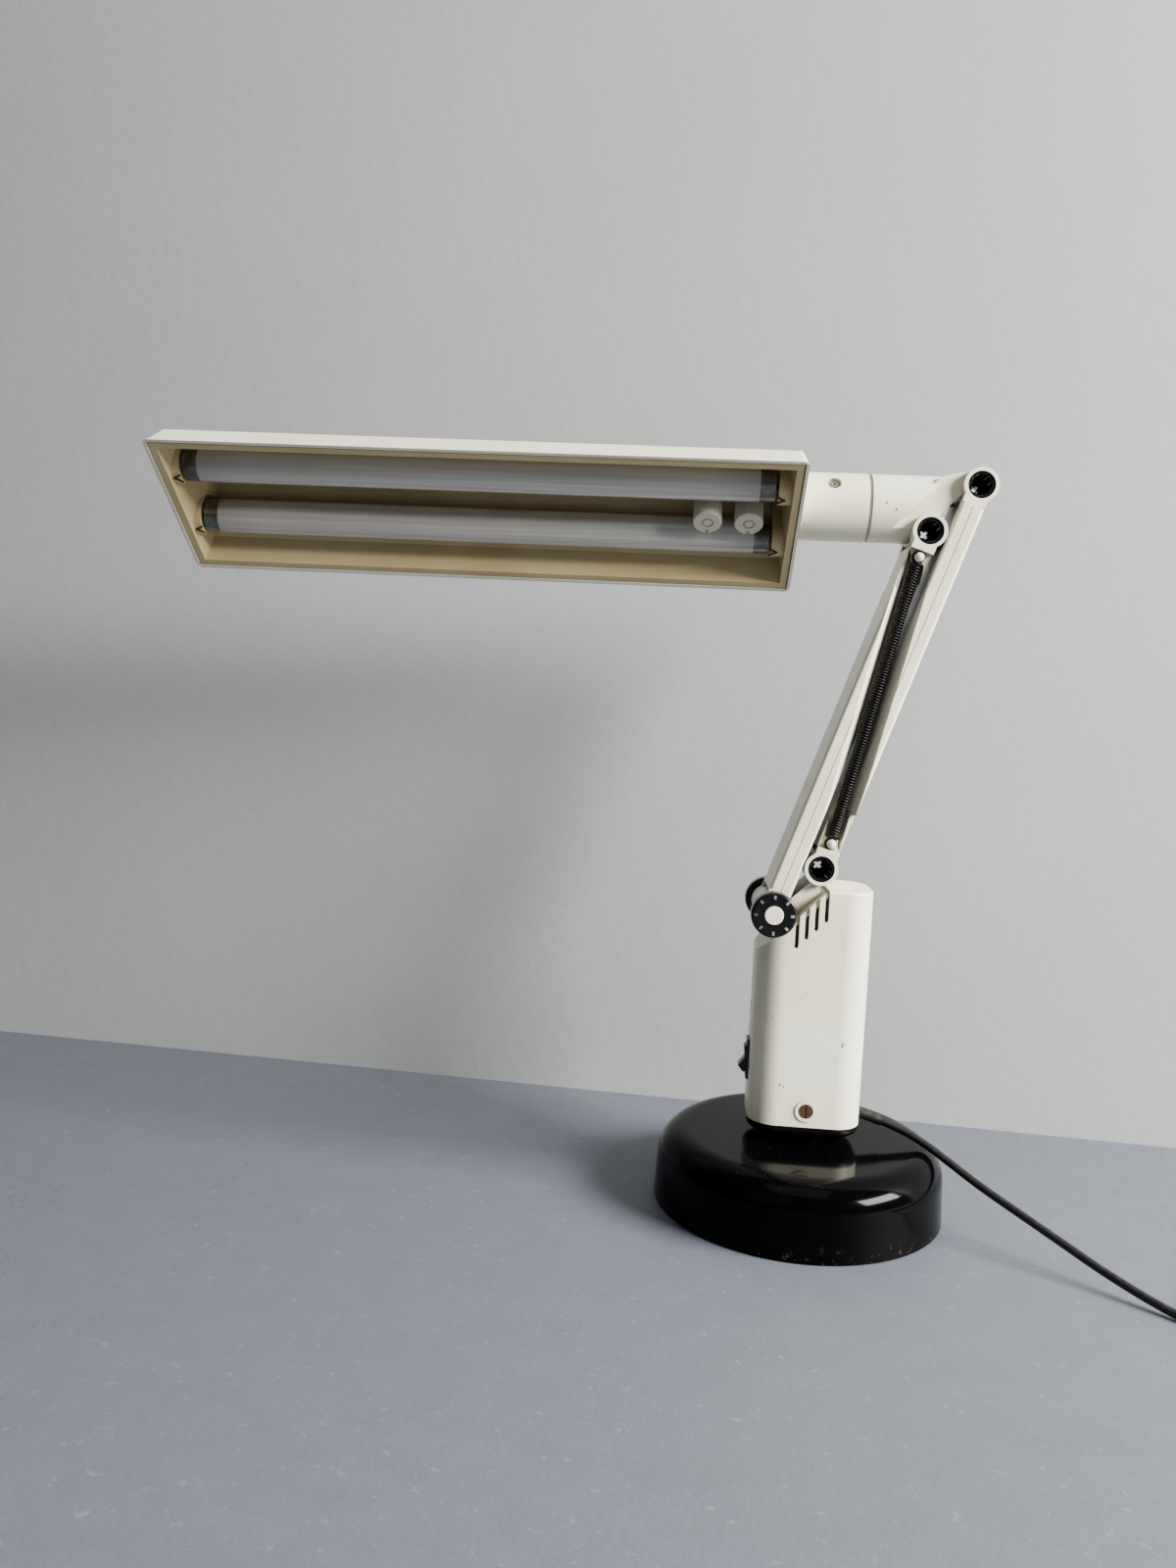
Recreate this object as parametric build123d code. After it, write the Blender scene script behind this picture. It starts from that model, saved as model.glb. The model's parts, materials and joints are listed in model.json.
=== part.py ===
from build123d import *
import math
import os

# Architect desk lamp with a weighted round base, a swivelling column, a parallelogram arm and
# a two-tube fluorescent head. Millimetres, +Z up, origin at the centre of the base underside.

# ---- fits ----
running_gap = 0.05      # radial gap of a shaft in its bore
seat_gap = 0.1          # between fixed pieces that locate each other
body_gap = 0.4          # between bodies that move past each other
open_pivot_gap = 0.3    # radial gap at the pivot where the linkage is opened

# ---- base ----
base_radius = 110.0
base_draft = 2.4        # how much narrower the side is at its top
base_top_z = 53.7
base_lift = 1.0         # the cover stands this far above the table
base_edge_round = 22.0
base_wall = 3.0
pad_thick = 2.0
weight_height = 28.0
weight_rim_gap = 2.3    # between the weight and the cover's skirt
neck_radius = 23.0
neck_height = 6.3
post_radius = 8.0
post_flange_radius = 15.0
post_flange_thick = 6.0
swivel_washer_thick = 1.0
swivel_washer_radius = 19.0
base_screw_count = 3
base_screw_circle = 60.0
base_screw_radius = 2.2
base_screw_head_radius = 4.5
base_screw_head_thick = 3.0
base_boss_radius = 6.0

# ---- column ----
column_width = 85.0
column_depth = 62.0
column_corner = 21.0
column_top_z = 248.0
column_wall = 2.5
column_top_round = 2.5
cap_thick = 7.5
cap_edge_round = 5.5
cap_upstand = 7.0
cap_boss_radius = 17.0
nut_thick = 7.0
nut_flats = 24.0
column_screw_height = 20.0      # above the cap's underside
column_screw_radius = 2.6
column_screw_head_radius = 5.5
column_screw_slot = 1.2
screw_collar_radius = 8.0
screw_collar_proud = 0.8
vent_count = 4
vent_width = 2.9
vent_length = 22.8
vent_pitch = 6.9
vent_first_x = -14.4
switch_height = 31.0
switch_depth = 14.0
switch_center_z = 110.3
switch_bezel_proud = 2.0
switch_body_length = 20.0
switch_body_margin = 1.2        # bezel overlap round the body on each side
rocker_half = 11.8
rocker_depth = 9.0
rocker_tip = 7.6
rocker_tip_place = 8.0
rocker_sink = 3.5               # pivot below the bezel face
rocker_tilt = 14.0
rocker_pin_radius = 1.2
rocker_pin_reach = 1.0          # past each side of the rocker
ballast_width = 38.0
ballast_depth = 22.0
ballast_height = 98.0
ballast_x = 14.0
ballast_base_z = 92.0
terminal_width = 34.0
terminal_depth = 14.0
terminal_height = 16.0

# ---- linkage ----
pivot_a_x = -33.0
pivot_a_drop = 18.6             # below the column's top
link_span = 48.0
link_angle = 45.0
arm_length = 300.0
arm_angle = 71.3
arm_width = 17.0
arm_half_depth = 26.0
arm_wall = 2.5
arm_edge_round = 2.5
ear_thick = 6.6
ear_radius = 12.4
barrel_radius = 12.3
clamp_bolt_radius = 4.0
axle_radius = 9.8
axle_sink = 0.8                 # the hollow axle ends this far inside the arm's faces
axle_star_radius = 7.0
axle_lobe_radius = 1.4
axle_lobes = 10
axle_web_thick = 2.4            # at the axle's middle, pierced by a cross
axle_cross_length = 6.4
axle_cross_width = 2.2
cut_drop = 15.0                 # column cut below the line of the two lower pivots
head_cut_rise = 20.0            # head cut above the line of the two upper pivots
bracket_plate = 4.0
bracket_web_back = 13.0         # the web stops this far short of the upper barrel
bracket_skirt = 120.0            # how far down the plate's outline is drawn before it is cut
link_web_rise = 4.0             # the head bracket's web stays this far behind the pivots' line
cover_end_reach = 48.0          # the cover half stops this far before the upper pivot
seam_width = 0.5
seam_depth = 0.6

# ---- springs ----
spring_pin_reach = 20.0         # pin to pivot
spring_pin_radius = 2.0
spring_ball_radius = 3.5
spring_plane_y = 20.0
spring_coil_radius = 4.7
spring_wire = 1.3
spring_eye_radius = 4.0         # the end loop, as wide as the coil
spring_eye_reach = 5.8          # pin to the end of the close-wound coil
channel_floor_y = 14.6
channel_side = 5.6
channel_slope_width = 7.5
tongue_y = 19.2
tongue_length = 24.0
tongue_sliver = 38.0

# ---- knobs ----
knob_radius = 16.8
knob_thick = 9.5
knob_gap = 5.2                  # hub between the arm and the knob's disc
knob_hub_radius = 11.0
knob_cap_radius = 6.9
knob_cap_thick = 3.0
knob_cap_proud = 0.6
knob_marks = 8
knob_mark_circle = 13.4
knob_mark_length = 2.8
knob_mark_width = 1.7
knob_mark_proud = 0.7

# ---- head ----
roll_rise = 18.0                # roll axis above the inner upper pivot
roll_face_back = 44.2           # rotating joint face behind the inner upper pivot
roll_rest = 36.2                # head turned this far from facing straight down
head_tube_radius = 24.9
head_tube_wall = 3.9
head_tube_length = 48.4
roll_groove = 2.4
roll_washer_inset = 1.7
roll_spigot_radius = 12.0
roll_spigot_bore = 7.0
roll_wall = 7.0
roll_nut_radius = 17.0
roll_nut_thick = 4.0
tube_screw_x = -25.7            # from the rotating joint face
tube_screw_radius = 2.9
tube_screw_well = 5.2
tube_screw_sink = 1.6

# ---- shade ----
shade_length = 475.0
shade_half = 67.2
shade_depth = 54.4
shade_drop = 25.4               # opening plane below the roll axis
shade_wall = 2.4
shade_side_angle = 68.0
shade_side_depth = 19.4
shade_roof_angle = 40.0
shade_end_angle = 74.5
shade_inner_end_angle = 83.0
shade_round = 2.2
shade_corner_round = 5.0
tray_gap = 0.9
tray_rim = 5.0
tray_rim_sink = 0.6
tray_wall = 1.8
tray_depth = 44.4
tray_end_gap = 4.0
lamp_radius = 13.0
lamp_length = 437.4
lamp_cap_length = 11.0
lamp_cap_radius = 12.7
lamp_pin_length = 6.6
lamp_pin_radius = 1.2
lamp_pin_pitch = 12.7
lamp_offset = 26.9
lamp_depth = 19.0
lamp_right_gap = 20.4           # shade end to the lamp cap
holder_gap = 2.2                # room for the lamp's insulating disc
holder_radius = 15.2            # of the round holders in the left end wall
holder_width = 25.0
holder_nose_rise = 3.0          # the right holders' round nose below the lamp's axis
holder_bore = 8.6
clip_start = 0.6                # from the lamp cap's end
clip_length = 7.0
clip_spread = 6.4
clip_wire = 1.0
starter_radius = 10.7
starter_length = 36.0
starter_face = 4.8
starter_first_x = -37.0         # from the shade's right end
starter_pitch = 30.6
starter_ring_radius = 4.4
starter_collar_radius = 13.5
starter_collar_height = 9.0

# ---- mains lead ----
cord_radius = 3.0
cord_coil_radius = 37.3         # at the middle of the turns
cord_coil_build = 12.8
cord_coil_height = 12.2
gland_z = 73.4
gland_length = 20.0
gland_root_radius = 4.3
gland_tip_radius = 3.7
gland_flange_radius = 4.8
gland_flange_thick = 1.2
gland_turn = 14.0               # the boot leans this far forward
gland_droop = 15.0              # and this far down
plug_width = 35.0
plug_length = 32.0
plug_thick = 14.0
plug_neck = 30.0
plug_neck_overlap = 2.0
plug_pin_radius = 2.0
plug_pin_length = 19.0
plug_pin_pitch = 18.6

# ---- places worked out from the sizes above ----
neck_top_z = base_top_z + neck_height
cap_z = neck_top_z + swivel_washer_thick
shell_z = cap_z + cap_thick
column_screw_z = cap_z + column_screw_height
rocker_pivot_x = -column_width / 2 - switch_bezel_proud + rocker_sink
front_y = column_depth / 2
right_x = column_width / 2
ear_inner_y = arm_half_depth - ear_thick
barrel_half = ear_inner_y - body_gap
link_dir = Vector(math.cos(math.radians(link_angle)), 0, math.sin(math.radians(link_angle)))
link_normal = Vector(-link_dir.Z, 0, link_dir.X)
arm_dir = Vector(math.cos(math.radians(arm_angle)), 0, math.sin(math.radians(arm_angle)))
pivot_a_z = column_top_z - pivot_a_drop
pivot_a = Vector(pivot_a_x, 0, pivot_a_z)
pivot_b = pivot_a + link_dir * link_span
pivot_c = pivot_a + arm_dir * arm_length
pivot_d = pivot_b + arm_dir * arm_length
spring_low = pivot_b + arm_dir * spring_pin_reach
spring_high = pivot_c - arm_dir * spring_pin_reach
spring_vector = spring_high - spring_low
spring_length = spring_vector.length
spring_dir = spring_vector.normalized()
spring_angle = math.degrees(math.atan2(spring_dir.Z, spring_dir.X))
spring_lean = spring_angle - arm_angle
roll_z = pivot_c.Z + roll_rise
roll_face_x = pivot_c.X - roll_face_back
shade_right_x = roll_face_x - head_tube_length
shade_left_x = shade_right_x - shade_length
arm_clear = ear_radius + 1.8    # where the arm's full section starts, from a pivot
swing = Rot(0, -arm_angle, 0)
head_place = Pos(0, 0, roll_z) * Rot(-roll_rest, 0, 0)


def cylinder_x(radius, x0, x1, y=0.0, z=0.0):
    return Pos((x0 + x1) / 2, y, z) * Rot(0, 90, 0) * Cylinder(radius, abs(x1 - x0))


def cylinder_y(radius, y0, y1, x=0.0, z=0.0):
    return Pos(x, (y0 + y1) / 2, z) * Rot(90, 0, 0) * Cylinder(radius, abs(y1 - y0))


def cylinder_z(radius, z0, z1, x=0.0, y=0.0):
    return Pos(x, y, (z0 + z1) / 2) * Cylinder(radius, abs(z1 - z0))


def block(x0, x1, y0, y1, z0, z1):
    return Pos((x0 + x1) / 2, (y0 + y1) / 2, (z0 + z1) / 2) * Box(x1 - x0, y1 - y0, z1 - z0)


def plate_xz(points, y0, y1):
    """A plate with its outline in X and Z, from y0 to y1."""
    face = Plane.XZ * make_face(Polyline(*points, close=True))
    return Pos(0, y0, 0) * extrude(face, -(y1 - y0))


def rounded_column(inset, z0, z1):
    outline = RectangleRounded(column_width - 2 * inset, column_depth - 2 * inset, column_corner - inset)
    return Pos(0, 0, z0) * extrude(outline, z1 - z0)


def both_sides(shape):
    """The shape and its mirror image behind the middle plane."""
    return [shape, mirror(shape, about=Plane.XZ)]


# ---------------------------------------------------------------- base
def base_screw_places():
    step = 360 / base_screw_count
    for index in range(base_screw_count):
        angle = math.radians(index * step + step / 2)
        yield base_screw_circle * math.cos(angle), base_screw_circle * math.sin(angle)


def cover_form(inset, z0, z1, edge_round):
    form = Pos(0, 0, z0) * Cone(base_radius - inset, base_radius - base_draft - inset, z1 - z0,
                                align=(Align.CENTER, Align.CENTER, Align.MIN))
    return fillet(form.edges().sort_by(Axis.Z)[-1], edge_round)


def base_cover():
    roof_z = base_top_z - base_wall
    cover = cover_form(0, base_lift, base_top_z, base_edge_round)
    cover -= cover_form(base_wall, base_lift, roof_z, base_edge_round - base_wall)
    cover += cylinder_z(neck_radius, roof_z, neck_top_z)
    for x, y in base_screw_places():
        cover += cylinder_z(base_boss_radius, pad_thick + weight_height, roof_z, x, y)
        cover -= cylinder_z(base_screw_radius + running_gap, 0, roof_z, x, y)
    cover -= cylinder_z(post_radius + body_gap, 0, neck_top_z)
    return cover


def base_weight():
    radius = base_radius - base_draft - base_wall - weight_rim_gap + 1.0
    weight = cylinder_z(radius, pad_thick, pad_thick + weight_height)
    weight = chamfer(weight.edges().sort_by(Axis.Z)[-1], 3.0)
    weight -= cylinder_z(post_radius + seat_gap, pad_thick, pad_thick + weight_height)
    weight -= cylinder_z(post_flange_radius + seat_gap, pad_thick, pad_thick + post_flange_thick)
    for x, y in base_screw_places():
        head_top = pad_thick + base_screw_head_thick
        weight -= cylinder_z(base_screw_radius + body_gap, pad_thick, pad_thick + weight_height, x, y)
        weight -= cylinder_z(base_screw_head_radius + body_gap, pad_thick, head_top, x, y)
    return weight


def base_pad():
    return cylinder_z(base_radius - base_wall - 0.6, 0, pad_thick)


def base_screws():
    screws = []
    for x, y in base_screw_places():
        screw = cylinder_z(base_screw_head_radius, pad_thick, pad_thick + base_screw_head_thick, x, y)
        screw += cylinder_z(base_screw_radius, pad_thick, base_top_z - base_wall - 1.0, x, y)
        screws.append(screw)
    return Compound(children=screws)


def pivot_post():
    nut_z = cap_z + cap_thick + 1.5
    post = cylinder_z(post_flange_radius, pad_thick, pad_thick + post_flange_thick)
    return post + cylinder_z(post_radius, pad_thick, nut_z + nut_thick + 2.0)


def swivel_washer():
    washer = cylinder_z(swivel_washer_radius, neck_top_z, cap_z - seat_gap)
    return washer - cylinder_z(post_radius + seat_gap, neck_top_z, cap_z)


def pivot_nut():
    nut_z = cap_z + cap_thick + 1.5 + seat_gap
    nut = Pos(0, 0, nut_z) * extrude(RegularPolygon(nut_flats / 2, 6, major_radius=False), nut_thick)
    return nut - cylinder_z(post_radius + running_gap, nut_z, nut_z + nut_thick)


# ---------------------------------------------------------------- column
def past_cut(pivot, offset, below, half_width, reach=120.0):
    """A block on one side of a 45-degree plane that lies offset from the line through two pivots."""
    middle = pivot + link_dir * (link_span / 2)
    away = -reach / 2 if below else reach / 2
    center = middle + link_normal * (offset + away)
    return Pos(center) * Rot(0, -link_angle, 0) * Box(2 * reach, 2 * half_width, reach)


def column_shell():
    shell = rounded_column(0, shell_z, column_top_z)
    shell = fillet(shell.edges().filter_by(Plane.XY).group_by(Axis.Z)[-1], column_top_round)
    shell -= rounded_column(column_wall, shell_z, column_top_z - column_wall)
    shell -= past_cut(pivot_a, -cut_drop, False, column_depth)
    for index in range(vent_count):
        x = vent_first_x + index * vent_pitch
        cut_z = pivot_a_z + (x - pivot_a_x) - cut_drop / link_dir.X
        low_z = cut_z - vent_length + vent_width / 2
        vent = block(x - vent_width / 2, x + vent_width / 2, -column_depth, column_depth, low_z, column_top_z)
        shell -= vent + cylinder_y(vent_width / 2, -column_depth, column_depth, x, low_z)
    wide = switch_depth / 2 - switch_body_margin + seat_gap
    tall = switch_height / 2 - switch_body_margin + seat_gap
    shell -= block(-column_width, 0, -wide, wide, switch_center_z - tall, switch_center_z + tall)
    shell += cylinder_y(screw_collar_radius, -front_y - screw_collar_proud, -front_y + 1, 0, column_screw_z)
    shell -= cylinder_y(column_screw_head_radius + seat_gap, -column_depth, -front_y, 0, column_screw_z)
    shell -= cylinder_y(column_screw_radius + body_gap, -column_depth, 0, 0, column_screw_z)
    shell -= cylinder_x(gland_root_radius + seat_gap, 0, column_width, 0, gland_z)
    return shell


def column_bottom_cap():
    inner = column_wall + seat_gap
    cap = rounded_column(0, cap_z, shell_z)
    cap = fillet(cap.edges().filter_by(Plane.XY).group_by(Axis.Z)[0], cap_edge_round)
    upstand = rounded_column(inner, shell_z, shell_z + cap_upstand)
    cap += upstand - rounded_column(inner + column_wall, shell_z, shell_z + cap_upstand)
    cap += cylinder_z(cap_boss_radius, cap_z, shell_z + 1.5)
    boss_back = -front_y + inner + 12.0
    cap += block(-8.0, 8.0, -front_y + inner, boss_back, shell_z, column_screw_z + 8.0)
    cap -= cylinder_y(column_screw_radius + running_gap, -front_y, boss_back, 0, column_screw_z)
    cap -= cylinder_z(post_radius + running_gap, 0, column_screw_z)
    cap -= cylinder_x(gland_flange_radius + body_gap, cap_boss_radius + 1, right_x - 0.1, 0, gland_z)
    return cap


def column_screw():
    head = cylinder_y(column_screw_head_radius, -front_y - 0.6, -front_y, 0, column_screw_z)
    shank = cylinder_y(column_screw_radius, -front_y, -front_y + 12.0, 0, column_screw_z)
    half = column_screw_slot / 2
    slot = block(-half, half, -front_y - 1, -front_y - 0.2, column_screw_z - 6, column_screw_z + 6)
    return head + shank - slot


def switch_housing():
    face_x = -column_width / 2 - switch_bezel_proud
    half_z = switch_height / 2
    half_y = switch_depth / 2
    bezel = block(face_x, -column_width / 2, -half_y, half_y, switch_center_z - half_z, switch_center_z + half_z)
    bezel = fillet(bezel.faces().sort_by(Axis.X)[0].edges(), 0.8)
    wide = half_y - switch_body_margin
    tall = half_z - switch_body_margin
    deep_x = -column_width / 2 + switch_body_length
    body = block(-column_width / 2, deep_x, -wide, wide, switch_center_z - tall, switch_center_z + tall)
    housing = bezel + body
    well = rocker_half + 0.9
    half_rocker = rocker_depth / 2 + body_gap
    well_x = face_x + rocker_sink + 9.0
    housing -= block(face_x - 1, well_x, -half_rocker, half_rocker, switch_center_z - well, switch_center_z + well)
    return housing - cylinder_y(rocker_pin_radius + running_gap, -half_y, half_y, rocker_pivot_x, switch_center_z)


def switch_rocker():
    """A two-winged rocker, drawn upright about its pivot and tilted to its rest state."""
    outline = [(-1.2 - rocker_sink, 0), (-rocker_tip, rocker_tip_place),
               (-2.8, rocker_half), (1.5, rocker_half - 2.6),
               (5.5, 0), (1.5, 2.6 - rocker_half), (-2.8, -rocker_half), (-rocker_tip, -rocker_tip_place)]
    rocker = plate_xz(outline, -rocker_depth / 2, rocker_depth / 2)
    pin_y = rocker_depth / 2 + rocker_pin_reach
    rocker += cylinder_y(rocker_pin_radius, -pin_y, pin_y)
    return Pos(rocker_pivot_x, 0, switch_center_z) * Rot(0, rocker_tilt, 0) * rocker


def ballast(side):
    """An iron-cored choke: a laminated core with its winding showing at both ends."""
    y = side * (ballast_depth / 2 + 0.5)
    core = Box(ballast_width, ballast_depth, ballast_height - 20)
    winding = Box(ballast_width - 8, ballast_depth - 5, ballast_height)
    choke = fillet(winding.edges().filter_by(Axis.Z), 3) + core
    return Pos(ballast_x, y, ballast_base_z + ballast_height / 2) * choke


def ballast_tray():
    """A folded strip that stands on the cap and carries both chokes."""
    half_x = ballast_width / 2
    half_y = ballast_depth + 1.0
    foot_x = ballast_x + half_x
    floor = block(ballast_x - half_x, foot_x, -half_y, half_y, ballast_base_z - 2, ballast_base_z - 0.1)
    return floor + block(foot_x - 2, foot_x, -half_y + 8, half_y - 8, shell_z, ballast_base_z - 1)


def terminal_block():
    base_z = ballast_base_z + ballast_height + 0.3
    body = block(ballast_x - terminal_width / 2, ballast_x + terminal_width / 2, -terminal_depth / 2,
                 terminal_depth / 2, base_z, base_z + terminal_height)
    for index in range(4):
        x = ballast_x - terminal_width / 2 + terminal_width * (index + 0.5) / 4
        body -= cylinder_z(2.0, base_z + terminal_height - 6, base_z + terminal_height + 1, x)
    return body


def column_bracket():
    """A plate in the column's slanted mouth with a web and the two lower pivot barrels."""
    inset = column_wall + seat_gap
    inner = rounded_column(inset, column_top_z - bracket_skirt, column_top_z - inset)
    plate = inner & past_cut(pivot_a, -cut_drop, True, column_depth)
    plate -= past_cut(pivot_a, -cut_drop - bracket_plate, True, column_depth)
    foot = -cut_drop - bracket_plate / 2
    corners = [pivot_a - link_dir * 4 + link_normal * foot,
               pivot_b - link_dir * bracket_web_back + link_normal * foot,
               pivot_b - link_dir * bracket_web_back / 2 - link_normal * 3,
               pivot_a - link_normal * 3]
    web = [(corner.X, corner.Z) for corner in corners]
    bracket = plate + plate_xz(web, -barrel_half, barrel_half)
    for pivot in (pivot_a, pivot_b):
        bracket += cylinder_y(barrel_radius, -barrel_half, barrel_half, pivot.X, pivot.Z)
        bore = clamp_bolt_radius if pivot is pivot_a else axle_radius
        bracket -= cylinder_y(bore + running_gap, -column_depth, column_depth, pivot.X, pivot.Z)
    return bracket


# ---------------------------------------------------------------- arms
def spring_channel():
    """What the front spring needs cut from an arm whose upper end carries the spring's pin."""
    reach = arm_length
    wall_y = arm_half_depth + 0.5
    wide = arm_width * 2
    profile = [(channel_side + channel_slope_width, -wall_y), (channel_side, -channel_floor_y),
               (-wide, -channel_floor_y), (-wide, -wall_y)]
    section = Plane(origin=(0, 0, 0), x_dir=(0, 0, 1), z_dir=(-1, 0, 0))
    face = section * make_face(Polyline(*profile, close=True))
    run = extrude(face, reach)
    pin_s = arm_length - spring_pin_reach
    return Pos(pin_s + spring_pin_reach * 0.45, 0, 0) * Rot(0, -spring_lean, 0) * run


def arm_form():
    """An arm along +X from its lower pivot, with the pin's tongue and the channel at its upper end."""
    half = arm_width / 2
    body = block(arm_clear, arm_length - arm_clear, -arm_half_depth, arm_half_depth, -half, half)
    body = fillet(body.edges().filter_by(Axis.X), arm_edge_round)
    tongue_s = arm_length - arm_clear + 1
    tip = arm_length - tongue_length
    outline = [(tongue_s, half + 1), (arm_length - spring_pin_reach, 5.4), (tip, 4.2), (tip + 1, -4.4),
               (tip + 0.6, -5.5), (tip - 1, -6.6), (arm_length - tongue_sliver, -half - 0.1),
               (tongue_s, -half - 0.1)]
    tongue = plate_xz(outline, -tongue_y, -channel_floor_y + 1)
    ramp_end = arm_length - arm_clear + 0.8
    step = [(arm_length - 46, -tongue_y), (ramp_end - 1.4, -tongue_y), (ramp_end, -arm_half_depth - 0.5),
            (arm_length - 46, -arm_half_depth - 0.5)]
    step_cut = Pos(0, 0, -half - 1) * extrude(make_face(Polyline(*step, close=True)), arm_width + 2)
    keep = body & tongue
    for cutter in both_sides(spring_channel()):
        body -= cutter
    for piece in both_sides(keep):
        body += piece
    for cutter in both_sides(step_cut):
        body -= cutter
    for s in (0, arm_length):
        toward = arm_clear + 1 if s == 0 else -arm_clear - 1
        root = block(min(s, s + toward), max(s, s + toward), -arm_half_depth, -ear_inner_y, -half, half)
        for ear in both_sides(root + cylinder_y(ear_radius, -arm_half_depth, -ear_inner_y, s)):
            body += ear
    return body - arm_hollow()


def arm_hollow():
    """The room inside an arm: full depth by the plain end, narrower between the spring channels."""
    half = arm_width / 2 - arm_wall
    deep = arm_half_depth - arm_wall
    slim = channel_floor_y - arm_wall
    full = block(arm_clear + 4, arm_length * 0.3, -deep, deep, -half, half)
    return full + block(arm_length * 0.3 - 1, arm_length - tongue_length - 6, -slim, slim, -half, half)


def arm_cover_region():
    """The half of an arm's section that comes away as its cover."""
    deep = arm_half_depth + 1
    return block(arm_clear + 2, arm_length - cover_end_reach, -deep, deep, 0, arm_width)


def seam_cut():
    half = seam_width / 2
    floor_y = -arm_half_depth + seam_depth
    front = block(arm_clear + 2, arm_length - cover_end_reach, -arm_half_depth - 1, floor_y, -half, half)
    return both_sides(front)


def arm_pieces(place, flipped):
    """The frame half and the cover half of one arm, in place; one pivot of the two takes the bolt."""
    form = arm_form()
    pin_s = arm_length - spring_pin_reach
    for groove in seam_cut():
        form -= groove
    for bore in both_sides(cylinder_y(spring_pin_radius + running_gap, -arm_half_depth, -channel_floor_y, pin_s)):
        form -= bore
    deep = arm_half_depth + 1
    lower_radius = axle_radius if flipped else clamp_bolt_radius
    form -= cylinder_y(axle_radius + running_gap, -deep, deep, arm_length)
    form -= cylinder_y(lower_radius + running_gap, -deep, deep)
    turn = Pos(arm_length, 0, 0) * Rot(0, 180, 0) if flipped else Pos(0, 0, 0)
    cover = form & arm_cover_region()
    frame = form - arm_cover_region()
    return [Pos(place) * swing * turn * piece for piece in (frame, cover)]


def axle(pivot):
    """A hollow black axle: star-shaped inside, with a web at its middle that a cross pierces."""
    end = arm_half_depth - axle_sink
    tube = cylinder_y(axle_radius, -end, end)
    star = cylinder_y(axle_star_radius, -end, end)
    for index in range(axle_lobes):
        angle = math.radians(index * 360 / axle_lobes)
        lobe = Vector(math.cos(angle), 0, math.sin(angle)) * axle_star_radius
        star += cylinder_y(axle_lobe_radius, -end, end, lobe.X, lobe.Z)
    half_web = axle_web_thick / 2
    half_long, half_wide = axle_cross_length / 2, axle_cross_width / 2
    cross = block(-half_long, half_long, -half_web, half_web, -half_wide, half_wide)
    cross += block(-half_wide, half_wide, -half_web, half_web, -half_long, half_long)
    web = cylinder_y(axle_radius, -half_web, half_web) - Rot(0, 45, 0) * cross
    return Pos(pivot) * (tube - star + web)


def spring_pins(place):
    pins = []
    ball_y = tongue_y + 1.6 + spring_ball_radius
    for sign in (-1, 1):
        pin = cylinder_y(spring_pin_radius, sign * (channel_floor_y + 0.2), sign * ball_y, place.X, place.Z)
        pins.append(pin + Pos(place.X, sign * ball_y, place.Z) * Sphere(spring_ball_radius))
    return Compound(children=pins)


# ---------------------------------------------------------------- springs
def spring_eyes(place, angle):
    """The end eyes of both springs round one pin, each with its stem to the coil's first turn."""
    eyes = []
    eye_y = tongue_y + spring_wire / 2 + seat_gap
    for sign in (-1, 1):
        ring = Pos(0, sign * eye_y, 0) * Rot(90, 0, 0) * Torus(spring_eye_radius, spring_wire / 2)
        stem = cylinder_x(spring_wire / 2, spring_eye_radius, spring_eye_reach - 0.6, sign * eye_y, 0)
        turn_end = spring_eye_reach - 0.05
        turn = cylinder_x(spring_coil_radius - 0.4, turn_end - 0.7, turn_end, sign * spring_plane_y)
        eyes.append(Pos(place) * Rot(0, -angle, 0) * (ring + stem + turn))
    return Compound(children=eyes)


def spring_coil(sign):
    """The close-wound body of one spring, as the tube that its turns fill."""
    low, high = spring_eye_reach, spring_length - spring_eye_reach
    coil = cylinder_x(spring_coil_radius, low, high, sign * spring_plane_y)
    coil -= cylinder_x(spring_coil_radius - spring_wire, low, high, sign * spring_plane_y)
    return Pos(spring_low) * Rot(0, -spring_angle, 0) * coil


# ---------------------------------------------------------------- knobs
def knob_face_y():
    return -arm_half_depth - body_gap - knob_gap - knob_thick


def clamp_bolt():
    half = -knob_face_y() - knob_cap_thick - 1.0
    return cylinder_y(clamp_bolt_radius, -half, half, pivot_a.X, pivot_a.Z)


def knob():
    face = knob_face_y()
    back = face + knob_thick
    disc = cylinder_y(knob_radius, face, back)
    disc = fillet(disc.edges().sort_by(Axis.Y)[0], 2.0)
    disc += cylinder_y(knob_hub_radius, back, -arm_half_depth - body_gap)
    for index in range(knob_marks):
        mark = block(knob_mark_circle - knob_mark_length / 2, knob_mark_circle + knob_mark_length / 2,
                     face - knob_mark_proud, face + 1, -knob_mark_width / 2, knob_mark_width / 2)
        disc += Rot(0, 360 * index / knob_marks, 0) * mark
    disc -= cylinder_y(knob_cap_radius + seat_gap, face, face + knob_cap_thick)
    disc -= cylinder_y(clamp_bolt_radius + running_gap, face, 0)
    return disc


def knob_cap():
    face = knob_face_y()
    cap = cylinder_y(knob_cap_radius, face - knob_cap_proud, face + knob_cap_thick)
    return fillet(cap.edges().sort_by(Axis.Y)[0], 0.5)


def placed_knob(shape, side):
    return Pos(pivot_a) * (shape if side < 0 else mirror(shape, about=Plane.XZ))


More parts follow.
